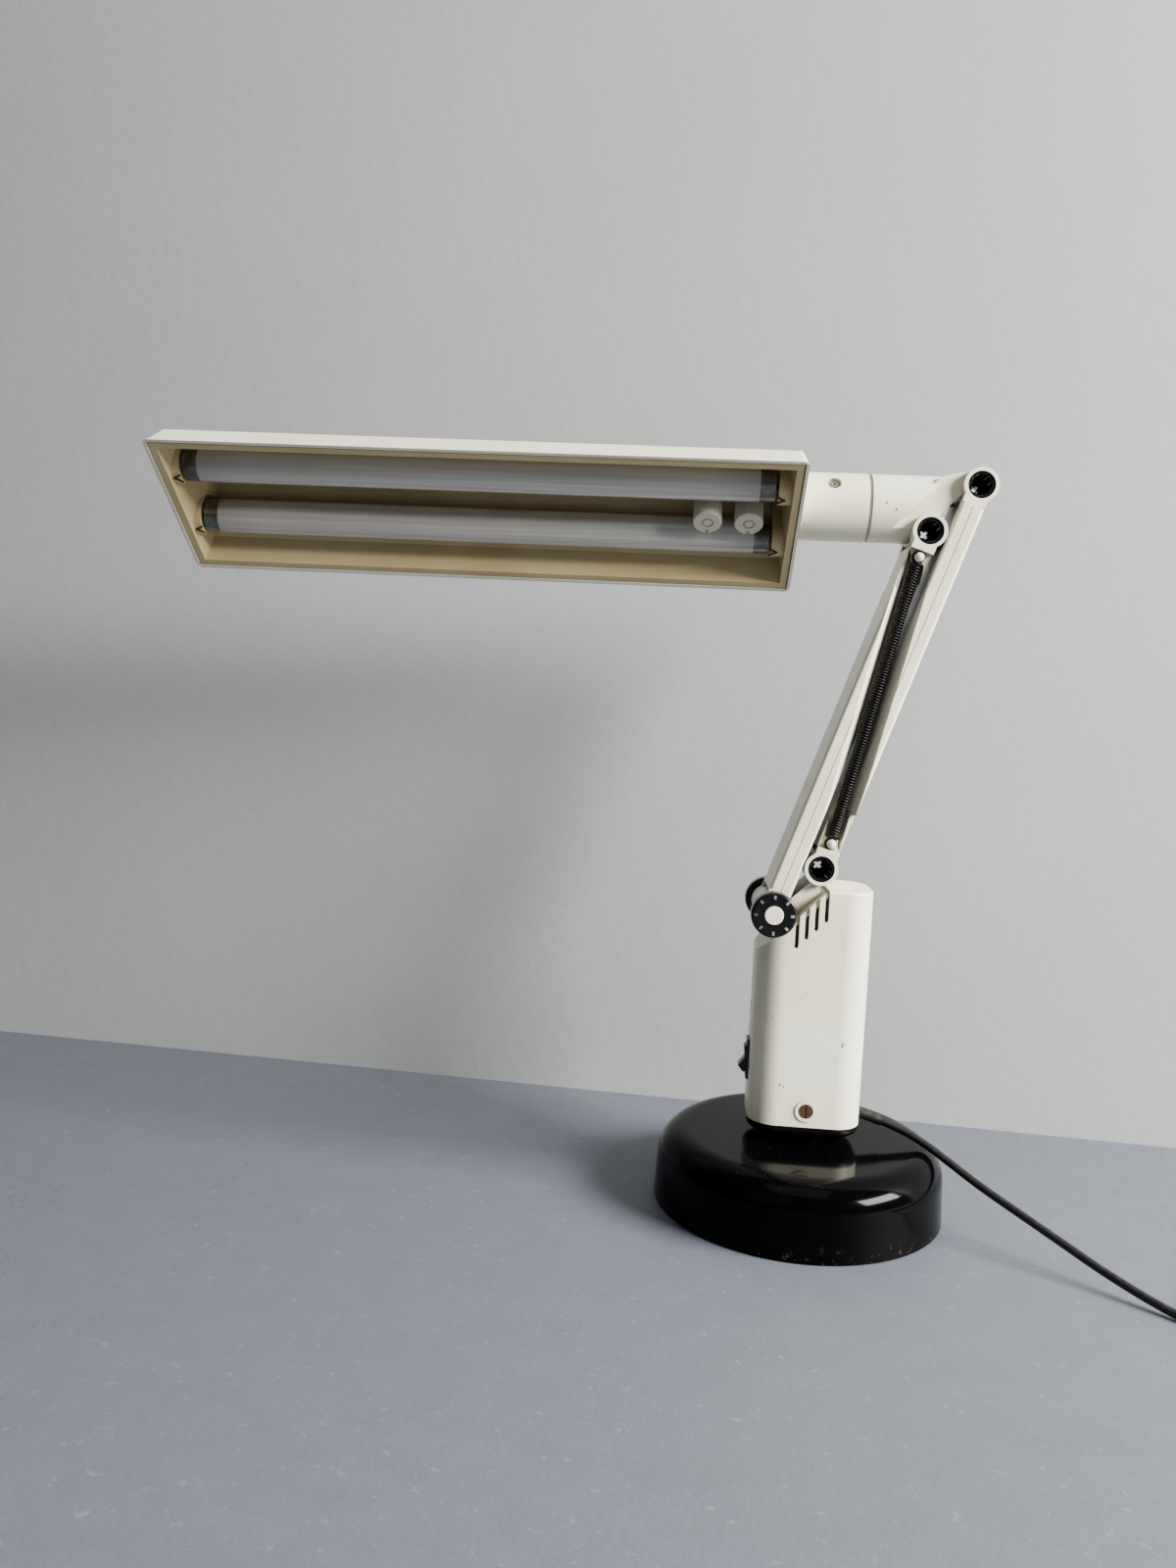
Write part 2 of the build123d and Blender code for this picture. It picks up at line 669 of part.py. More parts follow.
# ---------------------------------------------------------------- head joint
def head_bracket():
    """The knuckle on the two upper pivots: barrels, web and the fixed end of the round head tube."""
    left = roll_face_x + roll_groove
    tube = cylinder_x(head_tube_radius, left, pivot_d.X + head_tube_radius, 0, roll_z)
    tube -= past_cut(pivot_c, head_cut_rise, True, column_depth)
    top_z = roll_z + head_tube_radius
    low_z = roll_z - head_tube_radius
    slant_x = pivot_c.X - head_cut_rise / link_dir.X - pivot_c.Z
    inner_c = pivot_c + link_normal * link_web_rise
    inner_d = pivot_d + link_normal * link_web_rise
    outline = [(slant_x + low_z + 2, low_z + 0.6), (pivot_c.X - 6, low_z + 0.6), (inner_c.X, inner_c.Z),
               (inner_d.X, inner_d.Z), (pivot_d.X - 4, pivot_d.Z + barrel_radius - 0.9),
               (slant_x + top_z - 1, top_z - 1.2),
               (slant_x + top_z - 8, top_z - 3), (slant_x + low_z, low_z + 5)]
    cheek = plate_xz(outline, -barrel_half, barrel_half)
    below = block(left, pivot_c.X - 6, -column_depth, column_depth, low_z - 1, roll_z)
    cheek -= below - cylinder_x(head_tube_radius - seat_gap, left - 1, pivot_c.X, 0, roll_z)
    bracket = tube + cheek
    for pivot in (pivot_c, pivot_d):
        bracket += cylinder_y(barrel_radius, -barrel_half, barrel_half, pivot.X, pivot.Z)
    bracket += cylinder_x(roll_spigot_radius, roll_face_x - roll_wall - roll_nut_thick - 1.5, left + 1, 0, roll_z)
    bracket -= cylinder_x(roll_spigot_bore, -head_tube_length, left + 14, 0, roll_z)
    for pivot, gap in ((pivot_c, running_gap), (pivot_d, open_pivot_gap)):
        bracket -= cylinder_y(axle_radius + gap, -column_depth, column_depth, pivot.X, pivot.Z)
    return bracket


def roll_washer():
    outer = head_tube_radius - roll_washer_inset
    x0, x1 = roll_face_x + seat_gap, roll_face_x + roll_groove
    return cylinder_x(outer, x0, x1, 0, roll_z) - cylinder_x(roll_spigot_radius + seat_gap, x0, x1, 0, roll_z)


def roll_nut():
    x1 = roll_face_x - roll_wall - seat_gap
    x0 = x1 - roll_nut_thick
    nut = cylinder_x(roll_nut_radius, x0, x1, 0, roll_z)
    return nut - cylinder_x(roll_spigot_radius + running_gap, x0, x1, 0, roll_z)


# ---------------------------------------------------------------- head, drawn facing straight down
def tan_of(angle):
    return math.tan(math.radians(angle))


def end_layer(near, far):
    """The layer between two depths behind the inner face of the shade's leaning end wall."""
    reach = head_tube_radius + 5.0
    points = []
    for depth, z in ((near, -reach), (near, reach), (far, reach), (far, -reach)):
        face_x = shade_right_x - shade_wall - (z + shade_drop) / tan_of(shade_inner_end_angle)
        points.append((face_x - depth, z))
    return plate_xz(points, -reach, reach)


def head_tube():
    bore = head_tube_radius - head_tube_wall
    deep_x = shade_right_x - 20
    tube = cylinder_x(head_tube_radius, deep_x, roll_face_x)
    tube = tube & end_layer(-2 * head_tube_length, -shade_wall - seat_gap)
    tube += cylinder_x(bore, deep_x, shade_right_x + 2) & end_layer(-20, tray_end_gap - 0.5)
    tube -= cylinder_x(bore - 2.5, deep_x, shade_right_x + 4)
    tube -= cylinder_x(bore, shade_right_x + 4, roll_face_x - roll_wall)
    tube -= cylinder_x(roll_spigot_radius + running_gap, deep_x, roll_face_x)
    screw_x = roll_face_x + tube_screw_x
    tube += cylinder_y(6.5, -head_tube_radius + 1.5, -bore + 4, screw_x)
    tube -= cylinder_y(tube_screw_well, -head_tube_radius - 1, -head_tube_radius + tube_screw_sink + 1.6, screw_x)
    tube -= cylinder_y(1.6, -head_tube_radius, -bore + 4, screw_x)
    return tube


def tube_screw():
    x = roll_face_x + tube_screw_x
    face = -head_tube_radius + tube_screw_sink
    screw = cylinder_y(tube_screw_radius, face, face + 1.6, x)
    screw += cylinder_y(1.55, face, face + 6.5, x)
    return screw - cylinder_y(1.6, face - 1, face + 0.9, x)


def head_ring():
    """The ring that holds the head tube's spigot behind the shade's end wall."""
    bore = head_tube_radius - head_tube_wall
    deep_x = shade_right_x - 20
    ring = cylinder_x(bore + 3.5, deep_x, shade_right_x) & end_layer(seat_gap, tray_end_gap - 1.0)
    ring -= cylinder_x(bore + running_gap, deep_x, shade_right_x)
    rim_top = -shade_drop + tray_rim_sink + tray_wall
    return ring - block(deep_x, shade_right_x, -bore - 5, bore + 5, -bore - 5, rim_top + seat_gap)


def hood(inset_side, inset_end, depth, bottom, left, right):
    """A hood with steep sides, sloping roof panels and a raked left end, open side down."""
    side_run = shade_side_depth / tan_of(shade_side_angle)
    half = shade_half - inset_side
    shoulder = half - side_run
    top = shoulder - (depth - shade_side_depth) / tan_of(shade_roof_angle)
    z0 = -shade_drop
    points = [(-half - (0 - bottom) / tan_of(shade_side_angle), z0 + bottom), (-shoulder, z0 + shade_side_depth),
              (-top, z0 + depth), (top, z0 + depth), (shoulder, z0 + shade_side_depth),
              (half + (0 - bottom) / tan_of(shade_side_angle), z0 + bottom)]
    face = Plane.YZ * make_face(Polyline(*points, close=True))
    form = Pos(left, 0, 0) * extrude(face, right - left)
    rake = (shade_depth + 10) / tan_of(shade_end_angle)
    x0 = left + inset_end
    wedge = [(x0 - 10, z0 - 10), (x0 - 10 / tan_of(shade_end_angle), z0 - 10),
             (x0 + rake, z0 + shade_depth + 10), (x0 - 10, z0 + shade_depth + 10)]
    form -= plate_xz(wedge, -shade_half - 5, shade_half + 5)
    lean = (shade_depth + 10) / tan_of(shade_inner_end_angle)
    wedge = [(right + 10, z0 - 10), (right + 10 / tan_of(shade_inner_end_angle), z0 - 10),
             (right - lean, z0 + shade_depth + 10), (right + 10, z0 + shade_depth + 10)]
    return form - plate_xz(wedge, -shade_half - 5, shade_half + 5)


def shade_shell():
    outer = hood(0, 0, shade_depth, 0, shade_left_x, shade_right_x)
    uprights = [edge for edge in outer.edges()
                if edge.center().Z < shade_side_depth - shade_drop and abs((edge % 0).Z) > 0.8]
    outer = fillet(uprights, shade_corner_round)
    ridge_z = -shade_drop + shade_side_depth / 2
    ridges = [edge for edge in outer.edges() if edge.center().Z > ridge_z and abs((edge % 0.5).Z) < 0.2]
    outer = fillet(ridges, shade_round)
    side_wall = shade_wall / math.sin(math.radians(shade_side_angle))
    inner = hood(side_wall, shade_wall, shade_depth - shade_wall, -1, shade_left_x, shade_right_x - shade_wall)
    shell = outer - inner
    return shell - cylinder_x(head_tube_radius - head_tube_wall + seat_gap, shade_right_x - 10, shade_right_x + 1)


def tray_form(grow):
    """The tray's hollow, or its outside when grown by the wall."""
    rim = shade_wall + tray_gap + tray_rim - grow
    left = shade_left_x + shade_wall + tray_gap + tray_rim - grow
    right = shade_right_x - shade_wall - tray_end_gap - tray_wall + grow
    return hood(rim, 0, tray_depth + grow, tray_rim_sink - (0 if grow else 1), left, right)


def reflector_tray():
    z0 = -shade_drop + tray_rim_sink
    edge = shade_wall + tray_gap
    rim = block(shade_left_x + edge, shade_right_x - shade_wall - tray_gap, -shade_half + edge + 0.4,
                shade_half - edge - 0.4, z0, z0 + tray_wall)
    tray = rim + tray_form(tray_wall)
    tray -= tray_form(0)
    for x in starter_places():
        tray -= cylinder_z(starter_radius + 0.8, 0, tray_depth, x)
    for side in (-1, 1):
        window_end = lamp_left_x() + 6.0
        tray -= cylinder_x(holder_radius + seat_gap, shade_left_x, window_end, side * lamp_offset, lamp_z())
    return tray


def lamp_right_x():
    return shade_right_x - lamp_right_gap


def lamp_left_x():
    return lamp_right_x() - lamp_length


def lamp_z():
    return -shade_drop + lamp_depth


def lamp_glass(side):
    y = side * lamp_offset
    x0 = lamp_left_x() + lamp_cap_length
    x1 = lamp_right_x() - lamp_cap_length
    return cylinder_x(lamp_radius, x0, x1, y, lamp_z())


def lamp_caps(side):
    """Both metal caps with their pins."""
    y = side * lamp_offset
    ends = []
    for x, out in ((lamp_left_x(), -1), (lamp_right_x(), 1)):
        cap = cylinder_x(lamp_cap_radius, x, x - out * lamp_cap_length, y, lamp_z())
        for pin in (-1, 1):
            z = lamp_z() + pin * lamp_pin_pitch / 2
            cap += cylinder_x(lamp_pin_radius, x, x + out * lamp_pin_length, y, z)
        ends.append(cap)
    return Compound(children=ends)


def right_holder(y):
    """A push-through lampholder: a post on the tray's right end wall with a round nose."""
    near = lamp_right_x() + holder_gap
    far = shade_right_x - shade_wall - tray_end_gap - tray_wall
    top = -shade_drop + tray_depth - seat_gap
    nose = lamp_z() - holder_nose_rise
    post = block(near, far, y - holder_width / 2, y + holder_width / 2, nose, top)
    post += cylinder_x(holder_width / 2, near, far, y, nose)
    post = post & tray_form(-seat_gap)
    return post - cylinder_x(holder_bore, near, lamp_right_x() + lamp_pin_length + 0.8, y, lamp_z())


def left_holder(y):
    """A round lampholder that fills a window in the tray's leaning left end wall."""
    near = lamp_left_x() - holder_gap
    side_wall = shade_wall / math.sin(math.radians(shade_side_angle))
    room = hood(side_wall + seat_gap, shade_wall + seat_gap, shade_depth - shade_wall - seat_gap, 0,
                shade_left_x, shade_right_x - shade_wall)
    holder = cylinder_x(holder_radius, shade_left_x, near, y, lamp_z()) & room
    return holder - cylinder_x(holder_bore, lamp_left_x() - lamp_pin_length - 0.8, near, y, lamp_z())


def lampholders(holder):
    return Compound(children=[holder(side * lamp_offset) for side in (-1, 1)])


def contact_clips():
    """A bent wire spring in a V at the nose of each lampholder."""
    clips = []
    for x, out in ((lamp_left_x(), -1), (lamp_right_x(), 1)):
        for side in (-1, 1):
            near = x + out * clip_start
            far = near + out * clip_length
            holder_low = holder_nose_rise + holder_width / 2 if out > 0 else holder_radius
            z = lamp_z() - holder_low - clip_wire
            y = side * lamp_offset
            half = clip_spread / 2
            points = [(near, y - half - clip_wire), (far, y), (near, y + half + clip_wire),
                      (near, y + half), (far - out * 2.2, y), (near, y - half)]
            clip = Pos(0, 0, z) * extrude(make_face(Polyline(*points, close=True)), clip_wire)
            clips.append(clip)
    return Compound(children=clips)


def starter_places():
    return [shade_right_x + starter_first_x - index * starter_pitch for index in range(2)]


def starter(x):
    face = -shade_drop + starter_face
    can = cylinder_z(starter_radius, face, face + starter_length, x)
    can = fillet(can.edges().sort_by(Axis.Z)[0], 1.0)
    can -= cylinder_z(starter_ring_radius, face - 1, face + 0.7, x)
    can += cylinder_z(starter_ring_radius - 1.3, face + 0.1, face + 1, x)
    can -= block(x - 1.0, x + 1.0, starter_radius - 3.5, starter_radius + 1, face - 1, face + 2.2)
    return can


def starter_sockets():
    sockets = []
    top = -shade_drop + shade_depth - shade_wall - 1.0
    back = -shade_drop + starter_face + starter_length + seat_gap
    for x in starter_places():
        socket = cylinder_z(starter_radius + 0.6, back, top, x)
        sockets.append(socket)
    return Compound(children=sockets)


# ---------------------------------------------------------------- mains lead
def gland_axis():
    """Where the boot leaves its flange, and the way it points."""
    root = Vector(right_x + gland_flange_thick, 0, gland_z)
    turn, droop = math.radians(gland_turn), math.radians(gland_droop)
    return root, Vector(math.cos(droop) * math.cos(turn), -math.cos(droop) * math.sin(turn), -math.sin(droop))


def cord_points():
    """Corners of the lead's route: out of the boot, clear of the base and down to the table."""
    root, way = gland_axis()
    start = root + way * (gland_length - gland_flange_thick)
    low = cord_radius + 0.05
    return [start, start + way * 16.0, (91.5, -17.6, 58.4), (107.5, -28.4, 49.8), (127.0, -46.6, 39.8),
            (152.0, -70.3, 30.0), (173.0, -89.7, 21.7), (192.0, -108.0, 14.0), (212.0, -127.4, 7.7),
            (232.0, -146.2, low), (249.5, -161.0, low)]


def cord_turn_radius():
    """Radius of the coil's outermost turn, at the middle of the lead."""
    return cord_coil_radius + cord_coil_build - cord_radius - 0.2


def cord_coil_center():
    before, last = [Vector(point) for point in cord_points()[-2:]]
    heading = (last - before).normalized()
    left = Vector(-heading.Y, heading.X, 0)
    outside = cord_coil_radius + cord_coil_build + cord_radius + seat_gap
    reach = math.sqrt(outside ** 2 - cord_turn_radius() ** 2)
    return last + heading * reach + left * cord_turn_radius()


def mains_cord():
    points = [Vector(p) for p in cord_points()]
    radii = []
    for before, corner, after in zip(points, points[1:], points[2:]):
        turn = (corner - before).get_angle(after - corner)
        run = min((corner - before).length, (after - corner).length)
        radii.append(0.45 * run / tan_of(turn / 2))
    print("cord arc radii", [round(radius, 1) for radius in radii])
    path = FilletPolyline(*points, radius=radii)
    start = Plane(origin=path @ 0, z_dir=path % 0)
    cord = sweep(start * Circle(cord_radius), path=path)
    print("cord length", round(path.length, 1), "volume ratio",
          round(cord.volume / (path.length * math.pi * cord_radius ** 2), 4))
    return cord


def cord_gland():
    inside = right_x - column_wall
    gland = cylinder_x(gland_root_radius, inside - 4.0, right_x + gland_flange_thick, 0, gland_z)
    gland += cylinder_x(gland_flange_radius, right_x, right_x + gland_flange_thick, 0, gland_z)
    gland += cylinder_x(gland_flange_radius, inside - 4.0, inside - seat_gap, 0, gland_z)
    root, way = gland_axis()
    gland += Pos(root) * Sphere(gland_root_radius)
    taper = Cone(gland_root_radius, gland_tip_radius, gland_length - gland_flange_thick,
                 align=(Align.CENTER, Align.CENTER, Align.MIN))
    return gland + Plane(origin=root, z_dir=way) * taper


def cord_coil():
    center = cord_coil_center()
    outer = cord_coil_radius + cord_coil_build
    inner = cord_coil_radius - cord_coil_build
    coil = cylinder_z(outer, 0.05, cord_coil_height, center.X, center.Y)
    coil -= cylinder_z(inner, 0, cord_coil_height + 1, center.X, center.Y)
    return fillet(coil.edges().filter_by(GeomType.CIRCLE), 2.5)


def plug_place():
    """The plug lies beside the coil, where the outermost turn leaves it pointing along +Y."""
    center = cord_coil_center()
    outside = cord_coil_radius + cord_coil_build + gland_tip_radius + body_gap
    reach = math.sqrt(outside ** 2 - cord_turn_radius() ** 2)
    return Pos(center.X + cord_turn_radius(), center.Y + reach, plug_thick / 2 + 0.05) * Rot(0, 0, 90)


def plug_body():
    neck = Rot(0, 90, 0) * Cone(gland_tip_radius, 6.2, plug_neck + plug_neck_overlap,
                                align=(Align.CENTER, Align.CENTER, Align.MIN))
    end = plug_neck + plug_length
    body = block(plug_neck, end, -plug_width / 2, plug_width / 2, -plug_thick / 2, plug_thick / 2)
    body = fillet(body.edges().filter_by(Axis.Z), 8.0)
    body = fillet(body.faces().sort_by(Axis.Z)[-1].edges() + body.faces().sort_by(Axis.Z)[0].edges(), 2.5)
    return plug_place() * (body + neck)


def plug_pins():
    x = plug_neck + plug_length
    pins = [cylinder_x(plug_pin_radius, x, x + plug_pin_length, side * plug_pin_pitch / 2) for side in (-1, 1)]
    return plug_place() * Compound(children=pins)


front_frame, front_cover = arm_pieces(pivot_a, False)
rear_frame, rear_cover = arm_pieces(pivot_b, True)
knob_shape = knob()
cap_shape = knob_cap()
starter_x = starter_places()

parts = {
    "base_cover": base_cover(),
    "base_weight": base_weight(),
    "base_pad": base_pad(),
    "base_screws": base_screws(),
    "pivot_post": pivot_post(),
    "swivel_washer": swivel_washer(),
    "pivot_nut": pivot_nut(),
    "column_shell": column_shell(),
    "column_bottom_cap": column_bottom_cap(),
    "column_screw": column_screw(),
    "column_bracket": column_bracket(),
    "switch_housing": switch_housing(),
    "switch_rocker": switch_rocker(),
    "ballast_front": ballast(-1),
    "ballast_rear": ballast(1),
    "ballast_tray": ballast_tray(),
    "terminal_block": terminal_block(),
    "clamp_bolt": clamp_bolt(),
    "knob_front": placed_knob(knob_shape, -1),
    "knob_front_cap": placed_knob(cap_shape, -1),
    "knob_rear": placed_knob(knob_shape, 1),
    "knob_rear_cap": placed_knob(cap_shape, 1),
    "front_arm_frame": front_frame,
    "front_arm_cover": front_cover,
    "front_arm_spring_pins": spring_pins(spring_high),
    "rear_arm_frame": rear_frame,
    "rear_arm_cover": rear_cover,
    "rear_arm_spring_pins": spring_pins(spring_low),
    "front_arm_axle": axle(pivot_c),
    "rear_arm_axles": Compound(children=[axle(pivot_b), axle(pivot_d)]),
    "spring_eyes_upper": spring_eyes(spring_high, spring_angle + 180),
    "spring_eyes_lower": spring_eyes(spring_low, spring_angle),
    "spring_coil_front": spring_coil(-1),
    "spring_coil_rear": spring_coil(1),
    "head_bracket": head_bracket(),
    "roll_washer": roll_washer(),
    "roll_nut": roll_nut(),
    "head_tube": head_place * head_tube(),
    "tube_screw": head_place * tube_screw(),
    "head_ring": head_place * head_ring(),
    "shade_shell": head_place * shade_shell(),
    "reflector_tray": head_place * reflector_tray(),
    "lamp_glass_front": head_place * lamp_glass(-1),
    "lamp_caps_front": head_place * lamp_caps(-1),
    "lamp_glass_rear": head_place * lamp_glass(1),
    "lamp_caps_rear": head_place * lamp_caps(1),
    "lampholders_left": head_place * lampholders(left_holder),
    "lampholders_right": head_place * lampholders(right_holder),
    "contact_clips": head_place * contact_clips(),
    "starter_right": head_place * starter(starter_x[0]),
    "starter_left": head_place * starter(starter_x[1]),
    "starter_sockets": head_place * starter_sockets(),
    "cord_gland": cord_gland(),
    "mains_cord": mains_cord(),
    "cord_coil": cord_coil(),
    "plug_body": plug_body(),
    "plug_pins": plug_pins(),
}

os.makedirs("parts", exist_ok=True)
for name, shape in parts.items():
    export_step(shape, f"parts/{name}.step")
print(len(parts), "nodes", "spring", round(spring_length, 2), "lean", round(spring_lean, 2))
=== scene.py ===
import bpy
import json
import math
from mathutils import Matrix, Vector


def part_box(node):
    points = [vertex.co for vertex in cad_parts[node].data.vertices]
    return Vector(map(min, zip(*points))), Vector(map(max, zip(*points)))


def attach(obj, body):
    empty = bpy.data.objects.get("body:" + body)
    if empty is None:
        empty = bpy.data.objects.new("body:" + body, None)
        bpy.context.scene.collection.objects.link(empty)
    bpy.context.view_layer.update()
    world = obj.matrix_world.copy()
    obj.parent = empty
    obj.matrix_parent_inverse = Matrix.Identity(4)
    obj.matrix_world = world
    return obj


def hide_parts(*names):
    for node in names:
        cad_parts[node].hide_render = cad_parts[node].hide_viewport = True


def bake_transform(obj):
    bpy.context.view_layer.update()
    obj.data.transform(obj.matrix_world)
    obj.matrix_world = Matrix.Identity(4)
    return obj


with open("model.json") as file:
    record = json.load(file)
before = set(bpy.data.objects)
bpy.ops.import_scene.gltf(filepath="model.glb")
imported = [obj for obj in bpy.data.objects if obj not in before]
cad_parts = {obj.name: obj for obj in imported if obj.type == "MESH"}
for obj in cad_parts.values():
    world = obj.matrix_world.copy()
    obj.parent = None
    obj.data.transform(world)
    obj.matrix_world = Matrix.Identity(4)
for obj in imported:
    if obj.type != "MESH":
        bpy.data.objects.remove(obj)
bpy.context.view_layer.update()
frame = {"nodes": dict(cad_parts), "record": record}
mm = 0.001
print("frame loaded:", len(frame["nodes"]), "nodes")


# ---- view ----
view = {"place": (-0.11337, -0.91536, 0.38889), "yaw": -0.0694382, "pitch": 0.0799677, "roll": 0.0480589,
        "focalPixels": 1221.3, "frameHeight": 1600.0, "sensor": 36.0}


def addCamera():
    yaw, pitch, roll = view["yaw"], view["pitch"], view["roll"]
    forward = Vector((math.sin(yaw) * math.cos(pitch), math.cos(yaw) * math.cos(pitch), -math.sin(pitch)))
    side = Vector((math.cos(yaw), -math.sin(yaw), 0))
    upright = side.cross(forward)
    right = side * math.cos(roll) + upright * math.sin(roll)
    up = upright * math.cos(roll) - side * math.sin(roll)
    camera = bpy.data.objects.new("camera", bpy.data.cameras.new("camera"))
    bpy.context.scene.collection.objects.link(camera)
    camera.matrix_world = Matrix.Translation(view["place"]) @ Matrix((right, up, -forward)).transposed().to_4x4()
    camera.data.lens = view["focalPixels"] / view["frameHeight"] * view["sensor"]
    camera.data.sensor_width = view["sensor"]
    camera.data.clip_start = 0.01
    bpy.context.scene.camera = camera


addCamera()
print("camera placed")


# ---- finishes ----
def linear(hexColour):
    channels = [int(hexColour[i:i + 2], 16) / 255 for i in (1, 3, 5)]
    return [c / 12.92 if c <= 0.04045 else ((c + 0.055) / 1.055) ** 2.4 for c in channels] + [1.0]


def addNode(tree, kind, settings=(), links=()):
    node = tree.nodes.new("ShaderNode" + kind)
    for name, value in dict(settings).items():
        if isinstance(name, int) or name[0].isupper():
            node.inputs[name].default_value = value
        else:
            setattr(node, name, value)
    for name, source in dict(links).items():
        tree.links.new(source, node.inputs[name])
    return node


def startMaterial(name, **sockets):
    material = bpy.data.materials.new(name)
    material.use_nodes = True
    shader = material.node_tree.nodes["Principled BSDF"]
    for socket, value in sockets.items():
        shader.inputs[socket.replace("_", " ")].default_value = value
    return material, material.node_tree, shader


def giveRelief(tree, shader, height, strength, depthMm, roundMm=0.0):
    # a fine relief, over edges that look rounded by roundMm
    links = {"Height": height}
    if roundMm:
        rounding = addNode(tree, "Bevel", {"samples": 4, "Radius": roundMm * mm})
        links["Normal"] = rounding.outputs["Normal"]
    bump = addNode(tree, "Bump", {"Strength": strength, "Distance": depthMm * mm}, links)
    tree.links.new(bump.outputs["Normal"], shader.inputs["Normal"])


def spreadTones(ramp, positions, colours):
    for element, position, colour in zip(ramp.color_ramp.elements, positions, colours):
        element.position = position
        element.color = colour
    return ramp.outputs["Color"]


def scaleOf(featureMm):
    return 1 / (featureMm * mm)     # a noise cell of that size, in a space measured in metres


def knocks(tree, place, look):
    # one ragged spot for each place and reach in millimetres
    ragged = addNode(tree, "TexNoise", {"Scale": scaleOf(look["raggedMm"]), "Detail": 2.0}, {"Vector": place})
    cover = None
    for x, y, z, reachMm in look["marks"]:
        reach = reachMm * mm
        away = addNode(tree, "VectorMath", {"operation": "DISTANCE", 1: (x * mm, y * mm, z * mm)}, {0: place})
        edge = addNode(tree, "Math", {"operation": "MULTIPLY_ADD", 1: reach * 1.6},
                       {0: ragged.outputs["Fac"], 2: away.outputs["Value"]})
        spot = addNode(tree, "MapRange", {"From Min": reach * 1.35, "From Max": reach * 1.75, "To Min": 1.0,
                                          "To Max": 0.0}, {"Value": edge.outputs[0]}).outputs["Result"]
        cover = addNode(tree, "Math", {"operation": "MAXIMUM"}, {0: cover, 1: spot}).outputs[0] if cover else spot
    return cover


creamLook = {"colour": "#F3F1DD", "aged": "#E6E0C6", "patchMm": 90,
             "grimeAndShade": 0.75, "grimeAndShadeFrom": 0.25, "grimeAndShadeTo": 0.92, "grimeAndShadeReachMm": 4.0, "grimeAndShadeColour": "#5B4A33",
             "speckSpacingMm": 26, "speck": 0.5, "speckColour": "#8A7B62",
             "marks": [], "markColour": "#3B332A", "raggedMm": 1.1, "roughness": 0.34, "hazeMm": 14,
             "grainMm": 0.9, "grain": 0.08, "grainDepthMm": 0.12, "roundMm": 0.35}
columnLook = dict(creamLook, marks=[(24.3, -30.8, 133.7, 1.3), (24.1, -30.8, 131.6, 1.0), (-20.6, -31.0, 100.0, 1.1),
                                    (-17.6, -31.0, 98.7, 0.9), (-5.0, -31.0, 171.0, 0.6), (36.5, -29.0, 205.0, 0.8)])
# the arms and brackets get a wide reach of painted shade, darkening the deep gap between the two arms and the hollows
# by the pivots
armLook = dict(creamLook, grimeAndShade=0.92, grimeAndShadeFrom=0.12, grimeAndShadeTo=0.6, grimeAndShadeReachMm=20.0, grimeAndShadeColour="#3F2F20",
               marks=[(31.0, -24.9, 532.4, 1.0), (38.3, -24.6, 527.8, 1.1), (12.0, -26.0, 352.0, 0.8)])
trayLook = dict(creamLook, colour="#D0BC8E", aged="#C3AD7C", grimeAndShade=0.15, grimeAndShadeFrom=0.1, grimeAndShadeReachMm=16.0,
                grimeAndShadeColour="#6B5230", speckSpacingMm=34, roughness=0.4, patchMm=70)
pinLook = dict(creamLook, colour="#EAE6D8", aged="#E0DAC8", grimeAndShade=0.4, roughness=0.26, roundMm=0.0)
starterLook = dict(creamLook, colour="#D3CFBD", aged="#C6C0AA", grimeAndShadeReachMm=3.0, speckSpacingMm=12, roughness=0.42)


